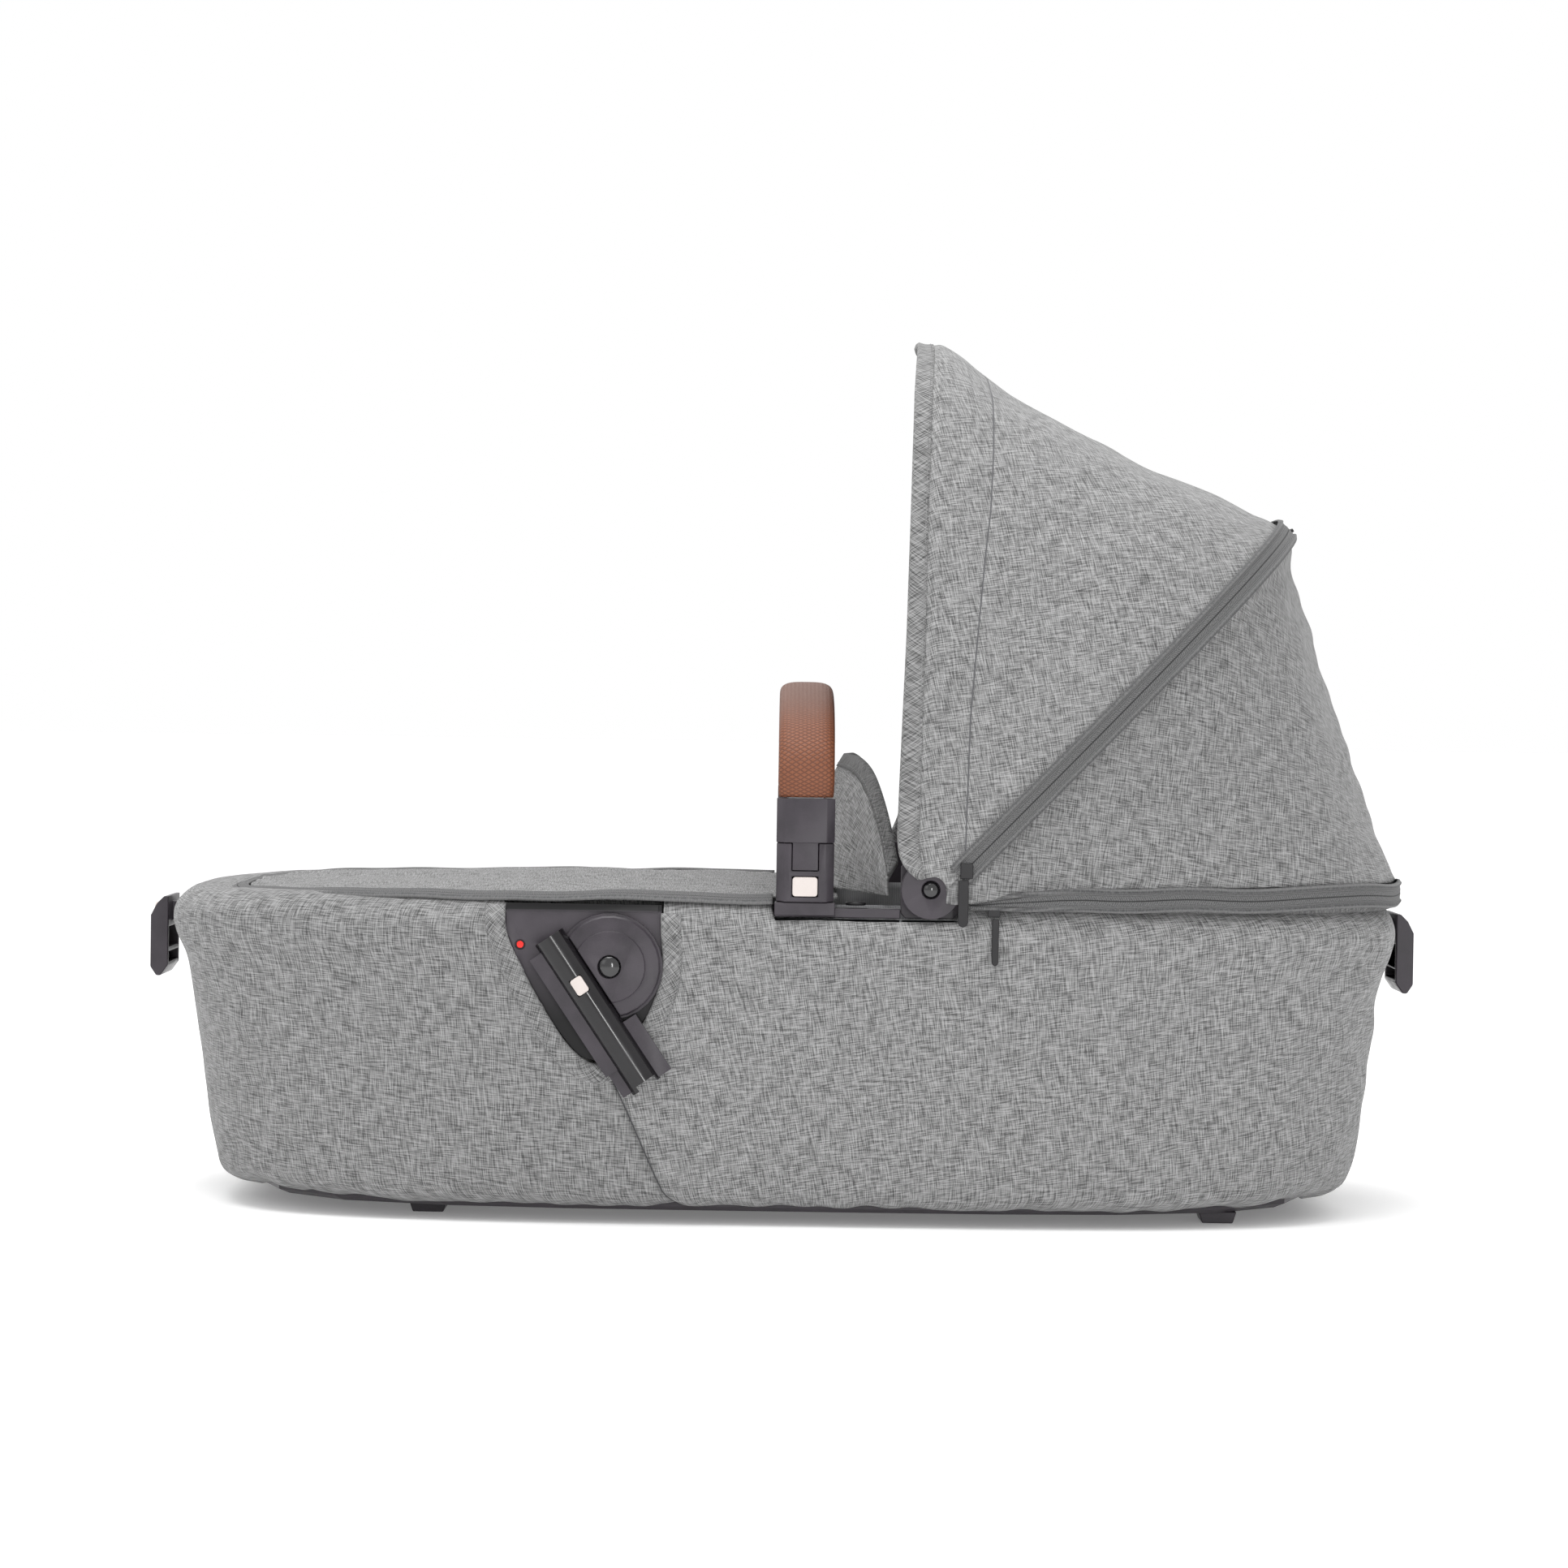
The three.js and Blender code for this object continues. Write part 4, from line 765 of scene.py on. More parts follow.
def window_binding(name, side):
    """Bias strip round a window: a flat band 11 mm wide whose inner edge rolls round the cut cloth."""
    path = WINDOW[(WINDOW[:, 1] < 206)]
    path = smooth_line(path[::4], 150)
    ahead = np.gradient(path, axis=0)
    ahead /= np.linalg.norm(ahead, axis=1, keepdims=True)
    away = np.stack([ahead[:, 1], -ahead[:, 0]], axis=1)
    middle = path.mean(0)
    away *= np.sign(((path - middle) * away).sum(1, keepdims=True))
    section = np.array([(-0.2, -3.2), (-1.3, -2.0), (-1.7, -0.6), (-1.2, 0.8), (0.2, 1.5), (2.5, 1.5),
                        (6, 1.2), (9.6, 1.1), (10.8, 0.6), (11.3, -0.6), (10.6, -1.6), (6, -2.4)])
    p = path[:, None] + section[None, :, :1] * away[:, None]
    gap = np.maximum(section[None, :, 0], 0)
    x, z = p[..., 0], p[..., 1]
    face = wall_y(x, np.minimum(z, 189)) + drawn_out(x, z, gap)
    face = face - 7.0 * step(z, 197, 208)
    pucker = 0.25 * np.cos(2 * math.pi * np.arange(150)[:, None] / 6.5) * bell(section[None, :, 0] - 8, 3)
    grid = np.stack([x, side * (face + section[None, :, 1] + pucker), z], axis=-1)
    made = surface(name, grid, wrap=(False, True))
    close_ends(made)
    finish(made, bias_cloth, "cot")
    row = grid[:, 7] * [1, 0, 1] + np.array([0, 1, 0]) * grid[:, 7]
    outward = np.zeros_like(row)
    outward[:, 1] = side
    sewn = beads(name + "_stitches", row + outward * 0.1, outward, 2.6, 1.2, 0.35)
    finish(sewn, thread, "cot")


window_binding("window_binding_right", -1)
window_binding("window_binding_left", 1)


# ---- apron ----
def apron_edge(x, inset_end=50.0, inset_side=17.0):
    """Half width of the apron at x: the rim's plan set in by the insets."""
    share = np.abs((x - tub_middle[0]) / (half_length - inset_end)).clip(0, 1)
    return (half_width - inset_side) * (1 - share**RIM_POWER) ** (1 / RIM_POWER)


apron_high = box_mm("apron")[1]


def tape_height(x):
    """Height of the apron's zip: level beside the windows and lower towards the foot end."""
    return np.interp(x, [-385, -360, -310, -240, -116, 40], [207.8, 208.0, 209.2, 210.0, 211.2, 210.4])


def apron_height(x, share):
    """Height of the apron: the zip's height at its edge and an arched crown along its middle line."""
    places = [-362, -345, -292, -236, -153, -60, -10, 36]
    crown = np.interp(x, places, [210.2, 211.5, 213.4, 215.6, 217.8, 216.4, 213.2, 212.6])
    side = tape_height(x) + 2.0
    return side + (crown - side) * (1 - np.abs(share) ** 2.4)


def make_apron():
    """Rows follow the cot's length, crowded at the foot end, and columns go from edge to edge. Shallow
    creases run mostly along the cot, where the zip draws the cloth tight."""
    rows, columns = 190, 150
    start = tub_middle[0] - half_length + 50.6
    x = start + (apron_high[0] - 0.4 - start) * (1 - np.cos(np.linspace(0, math.pi / 2, rows)))
    x = np.broadcast_to(x[:, None], (rows, columns))
    share = np.broadcast_to(np.linspace(-1, 1, columns)[None], (rows, columns))
    half = apron_edge(x)
    half = np.where(x > -9, half - 7 * step(x, -9, -6), half)
    y = share * half
    z = apron_height(x, share)
    inside = step(1 - np.abs(share), 0.0, 0.12)
    z = z + (0.5 * ripple(21, x * 0.35, y, 34) + 0.35 * ripple(22, x, y * 0.7, 90)) * inside
    z = z + 0.35 * np.cos(2 * math.pi * x / 19 + ripple(23, x, y, 70)) * bell(np.abs(share) - 0.97, 0.06)
    grid = np.stack([x, y, z], axis=-1)
    made = surface("apron_cloth", grid, away_from=np.array([0, 0, -500.0]), uv=grid[..., :2])
    finish(thicken(made, 1.6), apron_cloth, "cot", ["apron"])


make_apron()


def tape(name, centre, across, out, half, material, body, replaces, lips=0.9, middle=0.35):
    """A closed zip: a flat tape with a raised cloth lip along each border and a low ridge over the coil.
    centre, across and out are given along the zip, and the map's v is the distance from the closing line."""
    half_v = [0.08, 0.22, 0.4, 0.72, 0.8, 0.86, 0.97, 1]
    v = np.array([-place for place in half_v[::-1]] + [0] + half_v)
    lift = lips * (bell(np.abs(v) - 0.88, 0.075)) + middle * (bell(np.abs(v) - 0.16, 0.12))
    lift[[0, -1]] = -0.9
    half = np.broadcast_to(np.asarray(half, float), (len(centre),))
    offset = v[:, None] * half[None]
    grid = centre[None] + across[None] * offset[..., None] + out[None] * lift[:, None, None]
    along = np.concatenate([[0], np.cumsum(np.linalg.norm(np.diff(centre, axis=0), axis=1))])
    uv = np.stack(np.broadcast_arrays(along[None], offset), axis=-1)
    facing = np.cross(np.gradient(grid, axis=0), np.gradient(grid, axis=1))
    flip = (facing * out[None]).sum() < 0
    made = surface(name, grid[::-1] if flip else grid, uv=uv[::-1] if flip else uv)
    return finish(thicken(made, 1.0), material, body, replaces)


def unit(v):
    """The vectors at a length of 1."""
    return v / np.maximum(np.linalg.norm(v, axis=-1, keepdims=True), 1e-9)


def make_apron_zip():
    """The zip that closes the apron runs round the foot end on the rim roll's outer shoulder."""
    end = box_mm("apron_zip")[1][0]
    first, last = along_at(end), -along_at(end)
    along = np.linspace(last, first, 520)
    middle = tape_height(ring(along, 42, 12, 0)[:, 0])
    inner, outer = ring(along, 48.5, 17.6, middle + 2.0), ring(along, 34.0, 6.0, middle - 1.6)
    wavy = 0.5 * ripple(31, along, 0 * along, 90)[:, None] * [0, 0, 1]
    centre, across = (inner + outer) / 2 + wavy, unit(inner - outer)
    ahead = unit(np.gradient(centre, axis=0))
    out = unit(np.cross(ahead, across))
    out *= np.sign(out[:, 2:])
    tape("apron_zip_tape", centre, across, out, 6.6, zip_cloth, "cot", ["apron_zip"])


make_apron_zip()


# ---- wind flap ----
def flap_point(across, up):
    """The flap's face: across -1 to 1 from side to side, up 0 at its foot and 1 at its arched hem. It leans
    towards the foot end at the middle and curves back at the sides."""
    edge = np.abs(across)
    high = box_mm("apron_flap")[1]
    hem_x, hem_z = 42.5 + 31 * edge**1.5, 234 + (high[2] - 0.6 - 234) * (1 - edge**4)
    foot_x = 8 + 60 * edge**2.3
    z0 = 213.5 + 4.0 * (1 - edge**2)
    x = foot_x + (hem_x - foot_x) * up - 6 * np.sin(math.pi * up) * (1 - 0.5 * edge)
    return np.stack([x, across * (high[1] - 3 * up), z0 + (hem_z - z0) * up], axis=-1)


def make_flap():
    """The flap's cloth with standing folds, its darker bound hem and the stitches under the binding."""
    rows, columns = 46, 180
    up = np.linspace(0, 1, rows)[:, None] + np.zeros((1, columns))
    across = np.zeros((rows, 1)) + np.linspace(-1, 1, columns)[None]
    grid = flap_point(across, up)
    n = normals(grid, np.array([-600.0, 0, 200]))
    folds = 1.0 * ripple(41, across * 185, up * 12, 30) * (1 - up)
    folds = folds + 0.5 * ripple(42, across * 185, up * 60, 60)
    folds = folds + 0.5 * bell(up - 0.05, 0.12) * np.cos(across * 185 / 4.0)
    grid = grid + n * (folds * step(1 - np.abs(across), 0, 0.06))[..., None]
    made = surface("wind_flap_cloth", grid, away_from=np.array([-600.0, 0, 200]))
    finish(thicken(made, 2.2, 0.0), flap_cloth, "cot", ["apron_flap"])
    height = np.linalg.norm(np.diff(grid, axis=0), axis=2)
    down = np.concatenate([np.zeros((1, columns)), np.cumsum(height[::-1], axis=0)])
    distances = np.array([0, 2.5, 5, 7.5, 10.0])
    flipped, band = grid[::-1], []
    for d in distances:
        reach = (down <= np.minimum(d, down[-1] * 0.9)).sum(0) - 1
        low, high = down[reach, np.arange(columns)], down[np.minimum(reach + 1, rows - 1), np.arange(columns)]
        share = ((d - low) / np.maximum(high - low, 1e-6)).clip(0, 1)[:, None]
        band.append(flipped[reach, np.arange(columns)] * (1 - share)
                    + flipped[np.minimum(reach + 1, rows - 1), np.arange(columns)] * share)
    band = np.array(band)
    m = normals(band, np.array([-600.0, 0, 200]))
    front, back = band + m * 1.9, band - m * 1.9
    top = band[:1] + (band[:1] - band[1:2]) * 0.6
    loop = np.concatenate([front[::-1], top, back, back[-1:] + m[-1:] * 0.8, front[-1:] - m[-1:] * 0.8])
    hem = surface("wind_flap_binding", loop, wrap=(True, False))
    close_ends(hem)
    finish(hem, binding_cloth, "cot")
    for face, sign in (("front", 1), ("back", -1)):
        line = band[3] + m[3] * 1.9 * sign
        sewn = beads("wind_flap_stitches_" + face, line, m[3] * sign, 2.6, 1.3, 0.33)
        finish(sewn, thread, "cot")


make_flap()

# ---- canopy ----
hinge_x, hinge_z = (np.array(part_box("hinge_disc_right")).mean(0) / MM)[[0, 2]]
BOW_POWER = 3.0  # exponent of the bows' arch
CLOTH_HALF = 215.2
MID_ANGLE = 44.8
MID_LEAN = 6.6  # mm that the middle bow's cloth stands behind the line through the pivot, near the pivot
# The next three outlines, and the heights in rear_bottom and make_rim_zip, came from another program's
# output and were then shifted. They hold more points than the shapes need, and aren't a model to
# follow: a few chosen points with curves between them should take their place.
# Places on the crest, as X and Z, from the visor's edge over the front bow to the middle bow.
FRONT_CREST = [
    (86.4, 581.0), (89.0, 580.2), (92.5, 579.6), (97.0, 580.2), (102.0, 580.0), (107.0, 577.6),
    (112.0, 574.6), (118.0, 570.2), (125.8, 563.4), (137.0, 554.9), (148.2, 547.4), (176.2, 532.0),
    (204.2, 517.0), (232.2, 504.0), (260.2, 491.8), (288.2, 480.6), (316.2, 469.0), (326.0, 464.2),
    (333.0, 459.4), (336.9, 455.6),
]
# The rest of the crest, from the middle bow down to the head end of the rim.
REAR_CREST = [
    (333.4, 459.2), (335.8, 457.0), (338.6, 454.0), (340.8, 450.0), (341.8, 445.0), (341.2, 434.5),
    (343.2, 425.0), (347.4, 413.5), (358.8, 381.5), (370.4, 347.6), (382.4, 313.5), (393.4, 281.5),
    (401.0, 258.0), (407.4, 238.0), (410.6, 224.5),
]
# Front edge of the canopy seen from the side, as Z and X, from its lowest corner up to the visor.
EDGE_X = [
    (224, 89), (227, 85), (230.5, 81), (235, 77.6), (240, 75.2), (246, 74.2), (253, 73.7), (289, 74.7),
    (341, 76.5), (383, 78), (421, 78.9), (497, 81), (540, 82.6), (560, 84.3), (575, 86.0), (581, 86.4),
]


def bow(t, angle, height, half, lean=0.0):
    """A line from pivot to pivot over the crest: the curve |y|^n + |z|^n = 1 stood at an angle on the hinge.
    lean shifts its lower part square to the line, towards the head end. t is 0 to 1 from right to left."""
    c, s = np.cos(t * math.pi), np.sin(t * math.pi)
    radius = (np.abs(c) ** BOW_POWER + np.abs(s) ** BOW_POWER) ** (-1 / BOW_POWER)
    y, rise = -half * radius * c, radius * s
    a = np.radians(angle)
    behind = lean * (1 - rise)
    x = hinge_x + rise * height * np.cos(a) + behind * np.sin(a)
    z = hinge_z + rise * height * np.sin(a) - behind * np.cos(a)
    return np.stack(np.broadcast_arrays(x, y, z), axis=-1)


def start_at(reach, height):
    """The t at which a bow of that height is reach mm from its pivot."""
    return np.arctan(reach / height) / math.pi


def across_evenly(line_of, begin, columns):
    """For each row, points at even steps of length from t = begin to 1 - begin. line_of gives the points of
    all rows at a table of t."""
    share = np.linspace(0, 1, 700)[None]
    t = begin[:, None] + (1 - 2 * begin[:, None]) * share
    dense = line_of(t)
    return np.stack([resample(row, columns) for row in dense])


def hub_reach(grid):
    """In-plane distance of points from the hinge's axis."""
    return np.hypot(grid[..., 0] - hinge_x, grid[..., 2] - hinge_z)


def gore_map(grid):
    """Map of a canopy panel as cut: distance out from the nearer pivot along the cloth, laid off in the
    direction that the thread has there, so that the weave keeps its size from hub to crest."""
    steps = np.linalg.norm(np.diff(grid, axis=1), axis=2)
    along = np.concatenate([np.zeros((len(grid), 1)), np.cumsum(steps, axis=1)], axis=1)
    along = np.minimum(along, along[:, -1:] - along) + hub_reach(grid)[:, :1]
    turn = np.arctan2(grid[..., 2] - hinge_z, grid[..., 0] - hinge_x)
    return np.stack([along * np.cos(turn), along * np.sin(turn)], axis=-1)


def side_clearance(grid):
    """Draws the cloth outwards near the hinge, so that it lies over the hinge disc."""
    grid = grid.copy()
    beside = np.abs(grid[..., 1]) > 150
    reach = hub_reach(grid)
    least = 219.2 - 0.085 * reach - 0.004 * np.maximum(reach - 25, 0) ** 2
    out = np.maximum(np.abs(grid[..., 1]), np.where(beside, least, 0))
    grid[..., 1] = np.where(beside, np.sign(grid[..., 1]) * out, grid[..., 1])
    return grid


CANOPY_MIDDLE = np.array([hinge_x + 60, 0.0, hinge_z + 60])
CANOPY_COLUMNS = 300


def front_panel_grid():
    """Each crest place carries its own bow. The bows' lower ends start near the hinge, at a distance that
    shrinks from the visor's corner to the middle bow. The cloth sags a little between the bows."""
    rows = 92
    crest = smooth_line(FRONT_CREST, 400)
    lengths = np.linalg.norm(np.diff(crest, axis=0), axis=1).cumsum()
    lengths = np.concatenate([[0], lengths])
    wanted = np.concatenate([np.linspace(0, 20, 13)[:-1], np.linspace(20, lengths[-1], rows - 12)])
    crest = np.stack([np.interp(wanted, lengths, c) for c in crest.T], axis=1)
    dx, dz = crest[:, 0] - hinge_x, crest[:, 1] - hinge_z
    height, angle = np.hypot(dx, dz), np.degrees(np.arctan2(dz, dx))
    u = wanted / wanted[-1]
    spread = (u - 0.055).clip(0, 1) / 0.945
    even = 89.4 + (MID_ANGLE - 0.5 - 89.4) * spread
    crest_side = np.stack([angle, even], axis=0)
    lean = MID_LEAN * spread**1.5
    reach = 8.0 - 1.5 * bell(u, 0.035)
    half = CLOTH_HALF - 3.4 * np.sin(math.pi * spread)
    begin = start_at(reach, height)

    def line_of(t):
        """The panel's lines at shares t of their run from pivot to pivot."""
        rise = np.sin(math.pi * t)
        top = step(rise, 0.55, 1.0)
        a = crest_side[1][:, None] * (1 - top) + crest_side[0][:, None] * top
        h = height[:, None] * top + (1 - top) * np.interp(spread, [0, 1], [height[4], height[-1]])[:, None]
        return bow(t, a, h, half[:, None], lean[:, None])

    grid = across_evenly(line_of, begin, CANOPY_COLUMNS)
    edge_z, edge_x = np.array(EDGE_X).T
    back = 12 * step(grid[:1, :, 1], 5, 130) * step(grid[:1, :, 2], 228, 260)
    edge_shift = (np.interp(grid[:1, :, 2], edge_z, edge_x) + back - grid[:1, :, 0])[..., None] * [1, 0, 0]
    share = np.interp(wanted, [0, 20], [1, 0]) ** 1.3
    grid = grid + edge_shift * share[:, None, None]
    grid = side_clearance(grid)
    n = normals(grid, CANOPY_MIDDLE)
    along = gore_map(grid)
    r = hub_reach(grid)
    turn = np.degrees(np.arctan2(grid[..., 2] - hinge_z, grid[..., 0] - hinge_x))
    taut = step(spread, 0.02, 0.2)[:, None] * step(1 - spread, 0.0, 0.12)[:, None]
    wave = 0.9 * ripple(51, along[..., 0], along[..., 1], 120) * taut
    wave = wave + 0.30 * ripple(52, along[..., 0] * 0.5, along[..., 1], 34) * taut
    gather = np.cos(np.radians(turn) * 16 + ripple(53, r, turn, 60)) * bell(r - 16, 16)
    wave = wave + (0.45 * gather * bell(r - 24, 14) + 1.0 * bell(r - 11, 4)) * (np.abs(grid[..., 1]) > 150)
    wave = wave - 0.5 * bell(wanted - 11, 2.2)[:, None]
    pucker = np.cos(2 * math.pi * np.arange(CANOPY_COLUMNS) / CANOPY_COLUMNS * 160)[None]
    wave = wave + 0.22 * pucker * bell(wanted - 11, 6)[:, None]
    return grid + n * wave[..., None], n, u, spread


def seam_mark(grid):
    """Distance of the panel's points from its sewn seam, which falls from the crest just behind the bow."""
    z = [240, 253.6, 330, 372, 430, 462, 500, 535, 556, 600]
    x = [116.0, 116.4, 118.4, 121.5, 126.5, 130.2, 132.4, 133.2, 131.5, 127.0]
    return grid[..., 0] - np.interp(grid[..., 2], z, x)


def swing_weights(piece):
    """Reads each point's fan weight, how far it is meant to follow the second body, and does nothing with it.
    The panel's lines fan out from the hinge, so the weight runs with the line and not with distance along
    one direction."""
    values = np.zeros(len(piece.data.vertices), np.float32)
    piece.data.attributes["fan"].data.foreach_get("value", values)


front_grid, front_normal, _, front_spread = front_panel_grid()
row_weight = 1 - front_spread
fan = np.broadcast_to(row_weight[:, None], front_grid.shape[:2])
canopy_front = surface(
    "canopy_front_cloth", front_grid, away_from=CANOPY_MIDDLE, uv=gore_map(front_grid),
    fields={"seam_mm": seam_mark(front_grid), "fan": fan},
)
finish(thicken(canopy_front, 1.5), canopy_cloth, None, ["canopy_front_panel"])
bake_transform(canopy_front)
swing_weights(canopy_front)


def make_front_binding():
    """Bias binding folded over the canopy's front edge: 10 mm on the outside and on the inside."""
    outer = front_grid[:7] + front_normal[:7] * 0.85
    inner = front_grid[:7] - front_normal[:7] * 2.5
    nose = front_grid[:1] + unit(front_grid[:1] - front_grid[1:2]) * 1.3 - front_normal[:1] * 0.8
    foot_out = outer[-1:] - front_normal[6:7] * 0.9
    foot_in = inner[-1:] + front_normal[6:7] * 0.9
    loop = np.concatenate([foot_out, outer[::-1], nose, inner, foot_in])
    made = surface("canopy_front_binding", loop, wrap=(True, False))
    close_ends(made)
    finish(made, bias_cloth, "canopy_front")
    line = front_grid[5] + front_normal[5] * 0.9
    sewn = beads("canopy_front_stitches", line, front_normal[5], 2.8, 1.2, 0.36)
    finish(sewn, thread, "canopy_front")


make_front_binding()


def rear_bottom(t):
    """The rear panel's lower edge: the rim's plan behind the hinges, dipping to the rim beside each hinge."""
    x, y = plan((t - 0.5) * math.radians(152))
    x, y = tub_middle[0] + (half_length - 1.2) * x, (half_width + 0.4) * y
    z = np.interp(x, [100, 112, 122, 137, 153, 174, 194, 277, 345, 420],
                  [212.5, 210.5, 210.5, 213.8, 216.6, 218.9, 220.2, 221.6, 222.8, 223.4])
    return np.stack([x, y, z], axis=-1)


def rear_panel_grid():
    """Lines from side to side that pass from the middle bow to the rim. Their heights at the crest follow the
    rear profile, with its roll of cloth behind the bow, and their ends slide along the rim."""
    rows = 84
    crest = smooth_line(REAR_CREST, 500)
    lengths = np.concatenate([[0], np.linalg.norm(np.diff(crest, axis=0), axis=1).cumsum()])
    wanted = np.concatenate([np.linspace(0, 26, 18)[:-1], np.linspace(26, lengths[-1], rows - 17)])
    crest = np.stack([np.interp(wanted, lengths, c) for c in crest.T], axis=1)
    u = wanted / wanted[-1]
    share = np.linspace(0, 1, 700)[None]
    begin = start_at(8.0, 341.0)
    first = bow(begin + (1 - 2 * begin) * share, MID_ANGLE + 0.4, 339.0, CLOTH_HALF + 0.3, MID_LEAN)
    last = rear_bottom(share)
    first, last = resample(first[0], 700)[None], resample(last[0], 700)[None]
    w = step(u, -0.05, 1.05)[:, None, None] * 0.15 + 0.85 * u[:, None, None]
    w = (w - w[:1]) / (w[-1:] - w[:1])
    dense = first * (1 - w) + last * w
    top = (np.sin(math.pi * share) ** 1.6)[..., None]
    now = dense[:, 350]
    pull = np.zeros_like(now)
    pull[:, 0], pull[:, 2] = crest[:, 0] - now[:, 0], crest[:, 1] - now[:, 2]
    dense = dense + pull[:, None] * top
    side = np.sin(math.pi * u)[:, None] * step(0.55 - np.abs(share - 0.5), 0.06, 0.3) * (1 - top[..., 0])
    dense[..., 1] *= 1 - 0.012 * side
    rounder = (np.sin(math.pi * u) ** 0.6)[:, None] * step(np.abs(dense[..., 1]), 5, 120)
    dense[..., 0] -= 11.0 * rounder * step(dense[..., 0], 150, 300)
    grid = np.stack([resample(row, CANOPY_COLUMNS) for row in dense])
    grid = side_clearance(grid)
    n = normals(grid, CANOPY_MIDDLE)
    along = gore_map(grid)
    r = hub_reach(grid)
    taut = step(u, 0.06, 0.2)[:, None] * step(1 - u, 0.0, 0.06)[:, None]
    broad = 0.9 * ripple(61, along[..., 0], along[..., 1], 95)
    fine = 0.35 * ripple(62, along[..., 0], along[..., 1], 36)
    wave = (broad + fine) * taut
    fold = bell(u - 0.10, 0.05)[:, None] * step(r, 120, 260)
    wave = wave + 0.8 * np.cos(2 * math.pi * np.arange(CANOPY_COLUMNS)[None] / 23) * fold
    wave = wave + 0.7 * ripple(63, along[..., 0], 0 * along[..., 0], 26) * bell(u - 1, 0.05)[:, None]
    return grid + n * wave[..., None], n, u


rear_grid, _, rear_u = rear_panel_grid()
fan = np.broadcast_to((1 - rear_u)[:, None], rear_grid.shape[:2])
canopy_rear = surface(
    "canopy_rear_cloth", rear_grid, away_from=CANOPY_MIDDLE, uv=gore_map(rear_grid),
    fields={"seam_mm": 50 + 0 * fan, "fan": fan},
)
finish(thicken(canopy_rear, 1.5), rear_cloth, None, ["canopy_rear_panel"])
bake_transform(canopy_rear)
swing_weights(canopy_rear)


def make_hoop_zip():
    """The zip over the middle bow, from just above one hinge to the other."""
    begin = start_at(19.0, 341.0)
    dense = bow(np.linspace(begin, 1 - begin, 2000), MID_ANGLE - 0.05, 341.4, CLOTH_HALF + 1.2, MID_LEAN)
    centre = resample(dense, 620)
    reach = hub_reach(centre)
    centre[:, 1] += np.sign(centre[:, 1]) * (1.6 * bell(reach, 30) + 1.2 * bell(reach, 110))
    ahead = unit(np.gradient(centre, axis=0))
    a = math.radians(MID_ANGLE)
    across = np.broadcast_to([math.sin(a), 0, -math.cos(a)], centre.shape)
    across = unit(across - (across * ahead).sum(1, keepdims=True) * ahead)
    out = np.cross(ahead, across)
    out *= np.sign((out * (centre - CANOPY_MIDDLE)).sum(1, keepdims=True))
    tape("canopy_zip_tape", centre, across, out, 7.6, zip_cloth, "canopy_mid", ["hoop_zip"], lips=1.3)


make_hoop_zip()


def make_rim_zip():
    """The zip between the canopy and the tub, round the head end. It narrows to a point at each hinge."""
    along = np.linspace(along_at(119.0), rim_length - along_at(119.0), 700)
    x = ring(along, 0, 0, 0)[:, 0]
    top = np.interp(x, [119, 124, 137, 153, 174, 194, 277, 345, 420],
                    [210.6, 211.4, 214.2, 217.0, 219.2, 220.6, 222.0, 223.2, 224])
    bottom = np.interp(x, [119, 124, 153, 194, 277, 345, 420],
                       [208.6, 207.8, 206.6, 207.0, 207.8, 209.0, 210.2])
    wavy = 0.7 * ripple(71, along, 0 * along, 70) * step(x, 130, 200)
    z = (top + bottom) / 2 + wavy
    centre = ring(along, -0.8, -1.6, 0)
    centre[:, 2] = z
    across = np.zeros_like(centre)
    across[:, 2] = 1
    ahead = unit(np.gradient(centre, axis=0))
    out = unit(np.cross(ahead, across))
    out *= np.sign((out * (centre - tub_middle)).sum(1, keepdims=True))
    tape("rim_zip_tape", centre, across, out, (top - bottom) / 2, zip_cloth, "cot", ["rim_zip"], lips=1.1)


make_rim_zip()


def make_rim_backing():
    """Cloth strip that joins the rim zip's lower border to the inside of the rim roll."""
    along = np.linspace(along_at(119.0), rim_length - along_at(119.0), 400)[None]
    rows = np.array([(-0.2, -0.6, 215.0), (1.0, 0.4, 209.0), (4.0, 3.4, 206.2), (9.0, 8.0, 204.6),
                     (14.0, 12.5, 204.0)])
    grid = ring(along, rows[:, :1], rows[:, 1:2], rows[:, 2:])
    made = surface("rim_zip_backing", grid, away_from=np.array([2.5, 0, 0.0]))
    finish(thicken(made, 0.9), binding_cloth, "cot")


make_rim_backing()


def make_pullers():
    """The moulded puller at the crest of the canopy's zip and the ring of the apron zip's slider."""
    path = np.linspace([335.0, 0, 453.6], [345.8, 0, 459.8], 9)
    size = (1 - 0.25 * np.linspace(-1, 1, 9) ** 4)[:, None, None]
    across = np.broadcast_to([0.0, 1, 0], path.shape)
    puller = tube("canopy_zip_puller", path, oval(5.0, 1.7, 3, 20)[None] * size, across)
    finish(puller, zip_plastic, "canopy_mid")
    for side, name in ((-1, "right"), (1, "left")):
        angle = np.linspace(0, 2 * math.pi, 33)[:-1]
        x, y = 47 + 5.5 * np.cos(angle), 200.5 + 3.6 * np.sin(angle)
        out = oval(1.15, 1.15, 2, 10)
        ahead = unit(np.stack([-5.5 * np.sin(angle), 3.6 * np.cos(angle), 0 * angle], axis=1))
        flat = np.cross(ahead, [0, 0, 1.0])
        ring_line = np.stack([x, side * y, 208.9 + 0 * x], axis=1)
        flat[:, 1] *= side
        upward = out[None, :, 1:] * np.array([0, 0, 1.0])
        grid = ring_line[:, None] + out[None, :, :1] * flat[:, None] + upward
        made = surface("apron_zip_ring_" + name, grid, wrap=(True, True))
        close_ends(made)
        finish(made, zip_plastic, "cot")


make_pullers()


